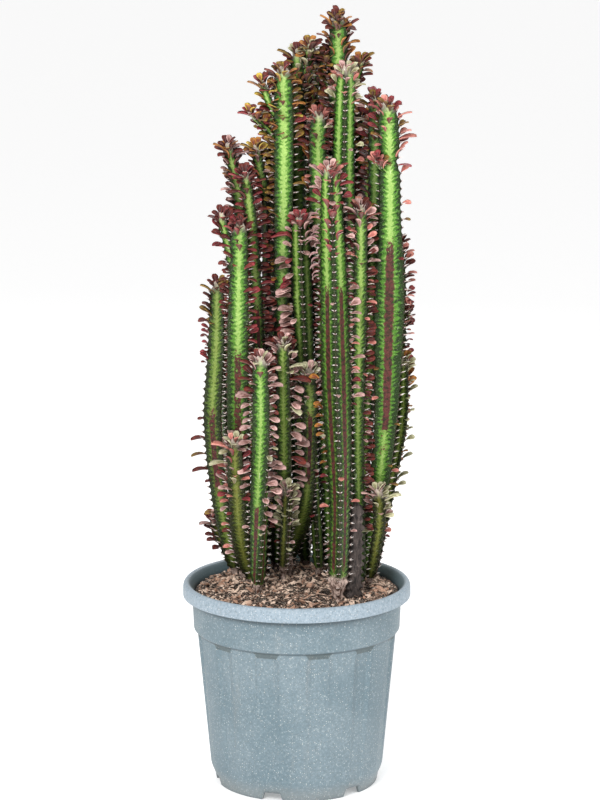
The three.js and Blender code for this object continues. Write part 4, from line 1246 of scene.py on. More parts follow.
def spine_tree():
    """Sets a pair of spines on each areole, a little uneven."""
    tree, ins = new_tree("Spines on areoles", [
        ("Spine Pair", "Object", None), ("Size", "Float", 1.0), ("Variation", "Float", 0.35),
        ("Seed", "Int", 4), ("Finish", "Material", None),
    ])
    seed = ins["Seed"]
    grown = named(tree, "size") * ins["Size"] * (1.0 + ins["Variation"] * by_chance(seed, -1.0, 1.0, 1))
    roll, climb, heading = split(named(tree, "tilt", "FLOAT_VECTOR"))
    climb, heading = climb + by_chance(seed, -0.35, 0.25, 2), heading + by_chance(seed, -0.3, 0.3, 3)
    shape = shapes_on_points(ins["Geometry"], [ins["Spine Pair"]], vector(tree, roll, climb, heading), grown)
    return end_tree(tree, shape, ins["Finish"])


def bark_tree():
    """Scatters chips and fibres over the upper side of the soil."""
    tree, ins = new_tree("Bark on soil", [
        ("Flat Chip", "Object", None), ("Thick Chip", "Object", None), ("Fibre", "Object", None),
        ("Density", "Float", 30000.0), ("Size", "Float", 0.008), ("Outer Radius", "Float", 0.15),
        ("Seed", "Int", 1), ("Finish", "Material", None),
    ])
    seed = ins["Seed"]
    x, y, _ = split(node(tree, "GeometryNodeInputPosition"))
    upward = split(node(tree, "GeometryNodeInputNormal"))[2]
    radius = (x * x + y * y) ** 0.5
    upper = is_near(radius / ins["Outer Radius"], 0.0, 1.0) * smooth(upward, 0.2, 0.21)
    inputs = {"Mesh": ins["Geometry"], "Selection": upper, "Density": ins["Density"], "Seed": seed}
    points = node(tree, "GeometryNodeDistributePointsOnFaces", inputs)
    points = store(points, "kind", by_chance(seed, 0, 2, 1, whole=True))
    points = store(points, "tint", by_chance(seed, 0.0, 1.0, 2))
    near_wall = smooth(radius, 0.136, 0.150)
    grown = ins["Size"] * (0.45 + 1.1 * by_chance(seed, 0.0, 1.0, 3) ** 2.5) * (1.0 - 0.55 * near_wall)
    spans = ((-0.6, 0.6), (-0.7, 0.7), (0.0, math.tau))
    turned = vector(tree, *(by_chance(seed, *span, salt) for salt, span in enumerate(spans, 4)))
    shapes = [ins["Flat Chip"], ins["Thick Chip"], ins["Fibre"]]
    shape = shapes_on_points(points, shapes, turned, grown)
    return end_tree(tree, shape, ins["Finish"])


def pot_tree():
    """Turns a profile into a pot, presses in its flutes and foot notches, and cuts its drain holes."""
    tree, ins = new_tree("Moulded pot", [
        ("Steps Around", "Int", 720), ("Flutes", "Int", 12), ("Flute Half Angle", "Float", 0.1222),
        ("First Flute", "Float", 0.0), ("Foot Notches", "Int", 6), ("Notch Width", "Float", 0.034),
        ("Notch Height", "Float", 0.013), ("Drain Holes", "Int", 4), ("Drain Radius", "Float", 0.007),
        ("Drain Circle", "Float", 0.07), ("Finish", "Material", None),
    ])
    grid, step, at_ring = sheet_of_rings(ins["Geometry"], ins["Steps Around"])
    angle = step / ins["Steps Around"] * math.tau
    radius, _, height = split(at_ring(node(tree, "GeometryNodeInputPosition"), "FLOAT_VECTOR"))
    dent = at_ring(named(tree, "dent"))

    def off_nearest(number):
        """Angle to the nearest of so many even places."""
        return away((angle - ins["First Flute"]) / (math.tau / number), 0.5) * (math.tau / number)

    pressed = fade(off_nearest(ins["Flutes"]) / ins["Flute Half Angle"], 0.45, 1.0)
    out = radius - dent * pressed
    off_middle = off_nearest(ins["Foot Notches"]) * 0.1226
    corner = 0.006
    arch = fade(off_middle, ins["Notch Width"] * 0.5 - corner, ins["Notch Width"] * 0.5)
    low = fade(height, 0.0125, 0.0128)
    height = height + low * arch * (ins["Notch Height"] - height * 0.5)
    place = vector(tree, cosine(angle) * out, sine(angle) * out, height)
    shape = sealed(node(tree, "GeometryNodeSetPosition", {"Geometry": grid, "Position": place}))
    circle = {"Vertices": ins["Drain Holes"], "Radius": ins["Drain Circle"]}
    circle = node(tree, "GeometryNodeMeshCircle", circle)
    circle = node(tree, "GeometryNodeTransform", {"Geometry": circle, "Translation": (0, 0, 0.017)})
    drill = {"Vertices": 24, "Radius": ins["Drain Radius"], "Depth": 0.02}
    drill = node(tree, "GeometryNodeMeshCylinder", drill)
    drills = node(tree, "GeometryNodeInstanceOnPoints", {"Points": circle, "Instance": drill})
    drills = node(tree, "GeometryNodeRealizeInstances", {0: drills})
    cut = tree.nodes.new("GeometryNodeMeshBoolean")
    cut.operation, cut.solver = "DIFFERENCE", "EXACT"
    tree.links.new(shape.socket, cut.inputs["Mesh 1"])
    tree.links.new(drills.socket, cut.inputs["Mesh 2"])
    return end_tree(tree, smooth_shaded(Wire(tree, cut.outputs[0])), ins["Finish"])


# ------------------------------------------------------------------ stations, areoles and leaves


def stations_of(plant):
    """Every ring of a plant's skin, from below the soil to each tip, with what it is like there."""
    look, rings = plant.look, []
    for part, form in enumerate(plant.forms):
        start = -BELOW_SOIL if form.rooted else 0.0
        ends = form.length - np.array([8, 6.2, 4.8, 3.6, 2.6, 1.8, 1.1, 0.6, 0.25, 0.06, 0]) * 0.001
        body = np.arange(start, form.length - 0.0095, STATION_STEP)
        along = np.concatenate([[start], body, ends])
        reach = form.reach(along)
        reach[0] = reach[-1] = 0
        places = form.centre(along)
        rest = form.rest(along)
        lift = 0.32 * form.full_reach(along) * (1 - rest) ** 2 * np.clip(reach / 0.004, 0, 1)
        places[-1, 2] += 0.001
        above = places[:, 2] - soil_height(places[:, 0], places[:, 1])
        young = np.clip(1 - (form.length - along) / 0.016, 0, 1) ** 1.4
        cork = np.clip(1.15 - above / max(look["cork"], 0.001), 0, 1) * form.rooted
        olive = np.full(len(along), look["olive"])
        stripes = np.zeros((len(along), 3))
        for trough, low, high, strength in look["stripes"]:
            inside = np.clip((places[:, 2] - low) / 0.03, 0, 1) * np.clip((high - places[:, 2]) / 0.03, 0, 1)
            stripes[:, trough] = np.maximum(stripes[:, trough], strength * inside * (part == 0))
        rings.append(np.column_stack([
            places, reach, np.radians(form.angle(along)), form.row_at(along), lift,
            np.full(len(along), float(part)), young, cork, olive, stripes,
        ]))
    return np.vstack(rings)


class Room:
    """Tells whether a point is clear of the other plants, by their rings: place, reach and number."""

    def __init__(self):
        stations = [(stations_of(plant)[:, :4], plant.index) for plant in CLUMP]
        rings = [np.column_stack([places, np.full(len(places), index)]) for places, index in stations]
        self.rings = np.vstack(rings)

    def clear(self, point, index, margin=0.75):
        rings = self.rings[np.abs(self.rings[:, 2] - point[2]) < SLICE]
        rings = rings[rings[:, 4] != index]
        gap = np.hypot(rings[:, 0] - point[0], rings[:, 1] - point[1]) - rings[:, 3] * margin
        low, high = CAD_BOX
        inside_box = all(low[axis] - BOX_MARGIN < point[axis] < high[axis] + BOX_MARGIN for axis in (0, 1))
        return bool(inside_box and point[2] < high.z + BOX_MARGIN and (len(gap) == 0 or gap.min() > 0))


def planned_leaves(form, crown, rows, seed):
    """The large leaves of the part's source, in its order."""
    plan = []

    def leaf(rib, along, size, rise, droop):
        wobble = chance(seed, len(plan))
        direction = float(form.angle(along)[0]) + rib * 120
        reach = float(form.reach(along)[0])
        share = max(0.1, 1 - (LEAF_ROOT_DEPTH + max(0.0, 0.010 - reach) * 0.6) / reach)
        plan.append({
            "root": form.beside(along, direction, share)[0], "heading": direction + (wobble - 0.5) * 50,
            "rise": rise + (wobble - 0.5) * 16, "length": size[0] * (0.85 + 0.3 * wobble) + LEAF_ROOT_DEPTH,
            "width": size[1], "droop": droop, "rib": rib, "along": along, "form": form,
        })

    for count in range(crown["leaves"]):
        leaf(count % 3, form.length - 0.008 - 0.007 * count, crown["size"], crown["rise"] - 6 * count, 25)
    for kept in rows:
        along, last = form.along_at(kept["low"]), form.along_at(kept["high"])
        while along <= last:
            leaf(kept["rib"], along, kept["size"], kept["rise"], 30)
            along += kept["every"]
    return plan


def leaf_point(leaf, share):
    """A point on a leaf's middle line."""
    slope = math.radians(leaf["rise"] - leaf["droop"] * share)
    run = leaf["length"] * share
    return leaf["root"] + polar(math.cos(slope) * run, leaf["heading"], math.sin(slope) * run)


def packed_leaves(plant):
    """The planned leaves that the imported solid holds."""
    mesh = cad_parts[plant.name].data
    solid = BVHTree.FromPolygons([v.co for v in mesh.vertices], [p.vertices for p in mesh.polygons])
    found = []
    for part, form in enumerate(plant.forms):
        source = plant.grown if part == 0 else plant.grown["branches"][part - 1]
        rows = source.get("rows", ())
        for leaf in planned_leaves(form, source["crown"], rows, plant.index * 10 + part):
            tip = leaf_point(leaf, 1.0)
            middle = leaf_point(leaf, 0.92)
            nearest = max(solid.find_nearest(Vector(place))[3] for place in (tip, middle))
            if nearest < LEAF_ON_SOLID:
                found.append(leaf)
    return found


def small_leaves(plant, room, packed):
    """A rosette round each tip, a dense crown below it, the look's fringes and a few odd leaves."""
    found, tints = [], plant.look["tints"]

    def tint_by(luck, spread=LEAF_TINT_SPREAD, more=0):
        return tints[int(luck * spread + more) % len(tints)]

    def leaf(form, rib, along, heading, share, rise, length, tint):
        taken = (other for other in packed if other["form"] is form and other["rib"] == rib)
        if any(abs(other["along"] - along) < SAME_LEAF for other in taken):
            return
        hook = tint == "hooked"
        grown = {
            "root": form.beside(along, heading, share)[0], "heading": heading, "rise": rise, "rib": rib,
            "length": length + 0.002, "width": length * (0.34 if hook else 0.72), "droop": 62 if hook else 28,
            "tint": tint, "hook": hook, "along": along, "form": form,
        }
        tip_clear = room.clear(leaf_point(grown, 1.0), plant.index)
        if tip_clear and room.clear(leaf_point(grown, 0.6), plant.index, 0.85):
            found.append(grown)

    def rosette(form, seed, leafy):
        for number in range(14 if leafy > 0.08 else 9):
            luck = chance(seed, number + 700)
            along, heading = form.length - 0.001 - 0.0014 * number, number * GOLDEN_TURN + 40 * luck
            rise, size = 86 - 5.0 * number + 20 * (luck - 0.5), 0.0118 + 0.0003 * number + 0.003 * luck
            leaf(form, None, along, heading, 0.6, rise, size, tint_by(luck, 991))

    def crown(form, rib, along, heading, share, luck, sway, young, leafy):
        rise, size = 30 + 44 * young + 34 * (luck - 0.5), 0.0145 - 0.003 * young + 0.005 * luck
        leaf(form, rib, along, heading + sway, share, rise, size, tint_by(luck))
        for more in range(2 if leafy > 0.12 else 1):
            turn, lower = sway * (1 if more else -1) + 34 * (1 - 2 * more), along - 0.003 - 0.003 * more
            tint = tint_by(luck, 499, more)
            leaf(form, None, lower, heading + turn, share * 0.92, rise + 14, size * 0.85, tint)

    def fringe(form, rib, along, heading, share, luck, sway, row, number):
        _, _, _, own, length, rise, swing = row
        for more in range(2 if own in ("crimson", "wine", "hooked") else 1):
            other = chance(luck, number + more)
            tint = tint_by(other) if other < 0.25 and own != "hooked" else own
            turn, up = heading + swing + sway * (1 - 2 * more), rise + 36 * (other - 0.5)
            lower, grown = along - 0.5 * AREOLE_PITCH * more, length * (0.6 + 0.75 * other)
            leaf(form, rib, lower, turn, share, up, grown, tint)

    for part, form in enumerate(plant.forms):
        leafy = plant.look["leafy"] * (1 if part == 0 else 0.7)
        seed = plant.index * 3 + part + 0.5
        rosette(form, seed, leafy)
        for number, (rib, along, heading) in enumerate(form.areoles()):
            down, reach = form.length - along, max(float(form.reach(along)[0]), 0.004)
            height = form.beside(along, heading, 1)[0][2]
            luck, sway = chance(seed, number), 60 * (chance(number, plant.index) - 0.5)
            where = (form, rib, along, heading, 1 - 0.0022 / reach, luck, sway)
            rows = [row for row in plant.look["fringes"] if row[0] == rib and row[1] < height < row[2]]
            if down < leafy:
                crown(*where, 1 - down / leafy, leafy)
            elif part == 0 and rows and luck < 0.90:
                fringe(*where, rows[0], number)
            elif luck > 0.84 and form.rooted and height > 0.36:
                size, tint = 0.008 + 0.006 * chance(luck, 3), tints[number % len(tints)]
                leaf(form, rib, along, heading + sway, where[4], 22, size, tint)
    return found


def roll_of(leaf, number, plant):
    """Turn of a leaf about its own length: the more upright it stands, the more its face turns aside."""
    luck = chance(number, plant.index + 0.7)
    turn = 24 if "tint" not in leaf else 40 + 0.55 * max(0.0, leaf["rise"] - 20)
    aside = turn * math.cos(math.radians(leaf["heading"])) * (0.6 + 0.6 * luck)
    return math.radians(aside + 30 * (luck - 0.5))


def tint_of(plant, leaf, number):
    """Root and tip colour of one leaf, a little lighter or darker than its neighbours."""
    name = leaf.get("tint") or plant.look["tints"][number % len(plant.look["tints"])]
    shade = 0.78 + 0.5 * chance(number + 0.3, plant.index)
    return [tuple(min(part * shade, 1.0) for part in colour_of(code)) for code in TINTS[name]]


# ------------------------------------------------------------------ small shapes


def leaf_shape(name, widths, droop, cup):
    """A unit leaf along X: closed, keeled below, cupped above and bent down toward its tip."""
    points, faces, reach, edge, under = [(0.0, 0.0, 0.0)], [], [0.0], [0.0], [0.0]
    for share, half in widths:
        bend = math.radians(droop) * share
        middle = (share * math.cos(bend), 0.0, -share * math.sin(bend))
        lean = (math.sin(2 * bend), math.cos(2 * bend))
        thick = 0.030 * (1 - 0.55 * share)
        section = (
            (-1.0, cup, 0), (-0.5, thick, 0), (0.5, thick, 0), (1.0, cup, 0),
            (0.45, -thick, 1), (-0.45, -thick, 1),
        )
        for side, rise, low in section:
            points.append((middle[0] + lean[0] * rise, side * half, middle[2] + lean[1] * rise))
            reach.append(share)
            edge.append(side if not low else side * 0.8)
            under.append(float(low))
    bend = math.radians(droop)
    points.append((math.cos(bend), 0.0, -math.sin(bend)))
    reach.append(1.0)
    edge.append(0.9)
    under.append(0.0)
    last = len(points) - 1
    for side in range(6):
        after = (side + 1) % 6
        faces.append((0, 1 + side, 1 + after))
        for section in range(len(widths) - 1):
            low, high = 1 + section * 6, 7 + section * 6
            faces.append((low + side, high + side, high + after, low + after))
        faces.append((last, last - 6 + after, last - 6 + side))
    piece = new_piece(name, points, faces)
    for label, values in (("reach", reach), ("edge", edge), ("under", under)):
        give(piece, label, values)
    return outward(piece)


def outward(piece):
    """Turns a closed shape's faces outward."""
    shape = bmesh.new()
    shape.from_mesh(piece.data)
    bmesh.ops.recalc_face_normals(shape, faces=shape.faces)
    shape.to_mesh(piece.data)
    shape.free()
    return piece


def spine_shape(length, thick):
    """A low pad with a pair of spines that part sideways from it."""
    points, faces, reach = [], [], []

    def cone(root, tip, radius, sides, share):
        axis = (Vector(tip) - Vector(root)).normalized()
        across = axis.cross(Vector((0.13, 0.2, 1.0))).normalized()
        other = axis.cross(across)
        first = len(points)
        for side in range(sides):
            turn = math.tau * side / sides
            points.append(Vector(root) + radius * (across * math.cos(turn) + other * math.sin(turn)))
            reach.append(share[0])
        points.append(Vector(tip))
        reach.append(share[1])
        faces.append(tuple(first + side for side in reversed(range(sides))))
        for side in range(sides):
            faces.append((first + side, first + (side + 1) % sides, first + sides))

    cone((-0.0008, 0, 0), (0.0007, 0, 0.0001), 0.0017, 6, (0.0, 0.18))
    for side in (-1, 1):
        tip = (length * 0.80, length * 0.55 * side, length * 0.12)
        cone((-0.0002, 0.0004 * side, 0), tip, thick / 2, 4, (0.1, 1.0))
    piece = new_piece("spine_pair", points, faces)
    give(piece, "reach", reach)
    return outward(piece)


def chip_shape(name, seed, size):
    """One angular flake of bark."""
    random = np.random.default_rng(seed)
    cloud = random.uniform(-1, 1, (11, 3))
    cloud /= np.maximum(np.linalg.norm(cloud, axis=1)[:, None], 0.6)
    shape = bmesh.new()
    for place in cloud * size:
        shape.verts.new(place)
    made = bmesh.ops.convex_hull(shape, input=shape.verts)
    spare = made["geom_interior"] + made["geom_unused"]
    spare = [part for part in spare if isinstance(part, bmesh.types.BMVert)]
    bmesh.ops.delete(shape, geom=list(set(spare)), context="VERTS")
    bmesh.ops.recalc_face_normals(shape, faces=shape.faces)
    piece = new_piece(name, [])
    shape.to_mesh(piece.data)
    shape.free()
    return piece


def tube_faces(rings, around):
    """The side faces of a tube of rings of points, one ring after another."""
    faces = []
    for low in range(0, (rings - 1) * around, around):
        for step in range(around):
            after = (step + 1) % around
            faces.append((low + step, low + after, low + around + after, low + around + step))
    return faces


def closed_tube(name, points, around):
    """A closed body of rings of points. Its last two points close its first and its last ring."""
    rings, first, last = (len(points) - 2) // around, len(points) - 2, len(points) - 1
    faces, high = tube_faces(rings, around), (rings - 1) * around
    for step in range(around):
        after = (step + 1) % around
        faces += [(first, after, step), (last, high + step, high + after)]
    return new_piece(name, points, faces)


def fibre_shape(name):
    """One thin bent strand of coir."""
    points = []
    for step in range(5):
        x, y, z = -1 + step / 2, 0.22 * math.sin(step * 0.9), 0.16 * math.sin(step * 1.3)
        for side in range(3):
            turn = math.tau * side / 3
            points.append((x, y + 0.055 * math.cos(turn), z + 0.055 * math.sin(turn)))
    return outward(new_piece(name, points, [*tube_faces(5, 3), (0, 2, 1), (12, 13, 14)]))


# ------------------------------------------------------------------ pot, soil and stump


def pot_profile(sizes):
    """Radius, height and flute dent along the pot's section, from its underside round to its floor."""
    top, rim, depth = sizes.height, sizes.rim_radius, sizes.flute_depth
    under = top - LIP_DEPTH
    corners = [
        (0.0, 0.015, 0, 0), (0.1190, 0.015, 0, 0.001), (0.1205, 0.0, 0, 0.0008), (0.1246, 0.0, 0, 0.0012),
        (0.1272, 0.0130, 0, 0), (0.133, 0.026, 0.13 * depth, 0.006), (0.1522, 0.2290, depth, 0.003),
        (0.1530, COLLAR_FOOT, 0, 0.0012), (0.1586, 0.2430, 0, 0.0020), (0.1614, top - 0.011, 0, 0.001),
        (rim - 0.0032, top - 0.011, 0, 0.001), (rim - 0.003, under, 0, 0.0006), (rim, under, 0, 0.0016),
        (rim, top - 0.006, 0, 0.005), (rim - 0.005, top, 0, 0.004), (0.1636, top - 0.004, 0, 0.004),
        (0.1575, top - 0.014, 0, 0.005), (0.1553, 0.245, 0, 0.004), (0.1446, 0.228, 0, 0.004),
        (0.1239, POT_FLOOR, 0, 0.004), (0.0, POT_FLOOR, 0, 0),
    ]
    path = []
    for number, (radius, height, dent, rounding) in enumerate(corners):
        here = np.array([radius, height, dent])
        if rounding == 0:
            path.append(here)
            continue
        before, after = (np.array(corners[number + step][:3]) for step in (-1, 1))
        lengths = [np.hypot(*(other - here)[:2]) for other in (before, after)]
        cut = [min(rounding / length, 0.48) for length in lengths]
        start, end = here + (before - here) * cut[0], here + (after - here) * cut[1]
        for t in (0, 0.2, 0.4, 0.6, 0.8, 1):
            path.append(start * (1 - t) ** 2 + here * 2 * t * (1 - t) + end * t**2)
    full = [path[0]]
    for before, after in zip(path, path[1:]):
        on_wall = before[0] > 0.1 and after[0] > 0.1
        steps = max(1, round(np.hypot(*(after - before)[:2]) / 0.018)) if on_wall else 1
        full += [before + (after - before) * (step + 1) / steps for step in range(steps)]
    return np.array(full)


def soil_bed():
    """The mounded soil as one closed body that fills the pot from its floor."""
    around, points, floor = 160, [], POT_FLOOR + 0.00035
    wall = [(0.1235, floor), (0.1343, 0.125), (0.1441, 0.2277), (0.1544, 0.246), (0.1552, 0.274)]
    surface = [(radius, None) for radius in np.linspace(0.1556, 0.003, 62)]
    for radius, height in wall + surface:
        for step in range(around):
            x, y, _ = polar(radius, 360 * step / around)
            z = height
            if height is None:
                z = float(soil_height(x, y)) - 0.0045
                z += 0.0045 * noise.fractal(Vector((x, y, 0)) * 45, 0.8, 2.2, 3)
                z += 0.0022 * noise.noise(Vector((x, y, 0.3)) * 190)
            points.append((x, y, z))
    points += [(0, 0, floor), (0, 0, float(soil_height(0, 0)) - 0.004)]
    piece = closed_tube("soil_bed", points, around)
    give(piece, "tint", [0.12 + 0.3 * noise.noise(Vector(point) * 160) for point in points])
    return piece


def stump_body():
    """The dead stem: a shrunken, three-cornered, folded stub with a broken top."""
    (x, y, _, thick), (top_x, top_y, top, top_thick) = STUMP_PATH
    foot = float(soil_height(x, y)) - 0.012
    around, levels, points = 54, 84, []
    for level in range(levels):
        share = level / (levels - 1)
        z = foot + (top - foot) * share
        body = thick + (top_thick - thick) * share
        centre = (x + (top_x - x) * share, y + (top_y - y) * share)
        past = max(0.0, (share - 0.90) / 0.10)
        closing = math.sqrt(max(0.0, 1 - past**2)) * 0.85 + 0.15 * (share < 0.999)
        for step in range(around):
            turn = math.tau * step / around
            ribbed = 0.84 + 0.16 * math.cos(3 * turn)
            place = Vector((math.cos(turn) * 1.1, math.sin(turn) * 1.1, z * 38))
            lumps = 1 + 0.34 * noise.noise(place * 1.1) + 0.24 * noise.noise(place * 2.7)
            teeth = 1 + 0.20 * max(0, math.cos(3 * turn)) * math.cos(math.tau * z / AREOLE_PITCH)
            reach = body * ribbed * lumps * teeth * closing
            rise = 0.004 * noise.noise(Vector((step * 0.5, level * 0.1, 0))) * (share > 0.8)
            points.append((centre[0] + reach * math.cos(turn), centre[1] + reach * math.sin(turn), z + rise))
    points += [(x, y, foot), (top_x, top_y, top - 0.001)]
    return outward(closed_tube("dead_stump_cork", points, around))


# ------------------------------------------------------------------ settings


def length(label, note, default):
    return bpy.props.FloatProperty(
        name=label, description=note, default=default, min=0, unit="LENGTH", precision=4
    )


def number(label, note, default):
    return bpy.props.FloatProperty(name=label, description=note, default=default, min=0)


def count(label, note, default):
    return bpy.props.IntProperty(name=label, description=note, default=default, min=1)


def tint(label, note, code):
    return bpy.props.FloatVectorProperty(
        name=label, description=note, default=colour_of(code), size=3, min=0, max=1, subtype="COLOR"
    )


class PotSizes(bpy.types.PropertyGroup):
    height: length("Height", "Floor to the top of the rim", round(POT_HIGH.z, 4))
    rim_radius: length("Rim Radius", "Outer radius of the turned-down rim", 0.175)
    flutes: count("Flutes", "Pressed channels round the body", 12)
    flute_depth: length("Flute Depth", "Depth of a channel under the collar", 0.005)
    notches: count("Foot Notches", "Openings through the foot ring", 6)
    drain_holes: count("Drain Holes", "Holes in the floor", 4)
    body: tint("Body Colour", "Main colour of the plastic", "#76878f")
    shade: tint("Cloud Colour", "Darker clouds in the plastic", "#667a83")
    deep: tint("Mottle Colour", "Fine dark mottling", "#57686f")
    # Rim colour: lighter lip band, painted light.
    rim: tint("Rim Colour", "Lighter rim", "#9aa9b5")
    # Inside colour: painted shade on the inner wall.
    inside: tint("Inside Colour", "Inner wall", "#4e6268")
    dust: tint("Dust Colour", "Dried dust and lime", "#b3a493")


class SoilSizes(bpy.types.PropertyGroup):
    density: number("Chip Density", "Chips on each square metre", 36000.0)
    chip: length("Chip Size", "Half the length of a common chip", 0.0084)
    crumb: length("Crumb Size", "Half the length of a crumb between the chips", 0.0030)
    seed: count("Seed", "Another number scatters the chips another way", 7)
    dark: tint("Dark Colour", "Wet bark and gaps", "#24140c")
    middle: tint("Middle Colour", "Most chips", "#bd8d72")
    light: tint("Light Colour", "Dry chips", "#f8d9c2")


class StemSizes(bpy.types.PropertyGroup):
    rib_points: count("Points per Rib", "Points from one trough to the next", 14)
    trough: number("Trough", "Trough radius as a share of the rib's reach", 0.46)
    edge_width: length("Edge Width", "Half the width of a rib's edge", 0.0013)
    tooth: length("Tooth Height", "How far a tooth stands above the notches beside it", 0.0026)
    pale_green: tint("Pale Colour", "Feathered band in a trough", "#b0d273")
    green: tint("Green Colour", "Sides of the ribs", "#4d8227")
    dark_green: tint("Dark Colour", "Between the feathers, near the edges", "#1b330a")
    olive: tint("Olive Colour", "Light parts of a dull stem", "#726c2b")
    dark_olive: tint("Dark Olive Colour", "Dark parts of a dull stem", "#22220a")
    stripe: tint("Stripe Colour", "Purple bands", "#5d1f2a")
    dark_stripe: tint("Dark Stripe Colour", "Darker parts of purple bands", "#260d12")
    young: tint("Tip Colour", "Bloom on young tips", "#e0cdc0")


class LeafSizes(bpy.types.PropertyGroup):
    size: number("Size", "Scale of every leaf", 1.0)
    broad_droop: number("Broad Leaf Droop", "Degrees that a broad leaf bends down", 28.0)
    hook_droop: number("Hooked Leaf Droop", "Degrees that a hooked leaf bends down", 62.0)


class SpineSizes(bpy.types.PropertyGroup):
    spine: length("Length", "Length of one spine", 0.0060)
    thick: length("Thickness", "Thickness of a spine at its foot", 0.0016)
    variation: number("Variation", "How much the pairs differ in size", 0.30)


class StageSizes(bpy.types.PropertyGroup):
    floor: tint("Floor Colour", "Plain studio floor", "#fbfbfb")
    floor_glow: number("Floor Glow", "Light that the floor itself gives off", 0.30)
    key: number("Key Light", "Power of the large front light, in watts", 90.0)
    fill: number("Fill Light", "Power of the light from the right, in watts", 22.0)
    ambient: number("Ambient", "Strength of the light from all round", 0.68)
    lens: number("Lens", "Focal length of the camera in millimetres", 135.8)


SETTINGS = {
    "euphorbia_pot": PotSizes, "euphorbia_soil": SoilSizes, "euphorbia_stems": StemSizes,
    "euphorbia_leaves": LeafSizes, "euphorbia_spines": SpineSizes, "euphorbia_stage": StageSizes,
}


# ------------------------------------------------------------------ operators


class EUPHORBIA_OT_pot(bpy.types.Operator):
    """Makes the moulded nursery pot"""

    bl_idname = "euphorbia.pot"
    bl_label = "Pot"

    def execute(self, context):
        sizes = context.scene.euphorbia_pot
        profile = pot_profile(sizes)
        points = np.column_stack([profile[:, 0], np.zeros(len(profile)), profile[:, 1]])
        piece = new_piece("nursery_pot", points, edges=[(n, n + 1) for n in range(len(points) - 1)])
        give(piece, "dent", profile[:, 2])
        values = {
            "First Flute": FIRST_FLUTE, "Flutes": sizes.flutes, "Foot Notches": sizes.notches,
            "Drain Holes": sizes.drain_holes, "Finish": pot_finish(sizes),
        }
        dress(plain_mesh(piece, pot_tree(), values), "pot_plastic", "pot")
        return {"FINISHED"}


class EUPHORBIA_OT_soil(bpy.types.Operator):
    """Makes the soil bed and scatters its bark, crumbs and fibres"""

    bl_idname = "euphorbia.soil"
    bl_label = "Bark Soil"

    def execute(self, context):
        sizes = context.scene.euphorbia_soil
        finish = bark_finish(sizes)
        bed = soil_bed()
        bed.data.materials.append(finish)
        shapes = [
            chip_shape("flat_chip", 3, (1.0, 0.55, 0.22)), chip_shape("thick_chip", 8, (0.8, 0.5, 0.42)),
            fibre_shape("fibre"),
        ]
        values = {"Flat Chip": shapes[0], "Thick Chip": shapes[1], "Fibre": shapes[2], "Finish": finish}
        tree = bark_tree()
        layers = (
            ("bark_chips", sizes.density, sizes.chip, 0.1515, sizes.seed),
            ("bark_crumbs", sizes.density * 1.8, sizes.crumb, 0.1535, sizes.seed + 50),
        )
        for name, density, size, radius, seed in layers:
            piece = bpy.data.objects.new(name, bed.data.copy())
            context.scene.collection.objects.link(piece)
            plain_mesh(piece, tree, {
                **values, "Density": density, "Size": size, "Outer Radius": radius, "Seed": seed,
            })
            dress(piece, "bark_soil", "soil")
        discard(*shapes)
        dress(bed, "bark_soil", "soil")
        return {"FINISHED"}


class EUPHORBIA_OT_stump(bpy.types.Operator):
    """Makes the dead stem"""

    bl_idname = "euphorbia.stump"
    bl_label = "Dead Stem"

    def execute(self, context):
        piece = stump_body()
        piece.data.materials.append(cork_finish())
        piece.data.shade_smooth()
        dress(piece, "dead_cork", "dead_stump")
        return {"FINISHED"}


class EUPHORBIA_OT_stems(bpy.types.Operator):
    """Grows the ribbed skin of every stem"""

    bl_idname = "euphorbia.stems"
    bl_label = "Stems"

    def execute(self, context):
        sizes = context.scene.euphorbia_stems
        tree = stem_tree()
        values = {
            "Points per Rib": sizes.rib_points, "Trough": sizes.trough, "Edge Width": sizes.edge_width,
            "Tooth Height": sizes.tooth, "Finish": skin_finish(sizes),
        }
        for plant in CLUMP:
            rings = stations_of(plant)
            piece = new_piece(f"{plant.name}_skin", rings[:, :3])
            for column, label in enumerate(("reach", "heading", "row", "lift", "part"), 3):
                give(piece, label, rings[:, column])
            give(piece, "state", rings[:, 8:11], "FLOAT_VECTOR")
            give(piece, "stripes", rings[:, 11:14], "FLOAT_VECTOR")
            dress(plain_mesh(piece, tree, values), "stem_skin", plant.name)
        return {"FINISHED"}


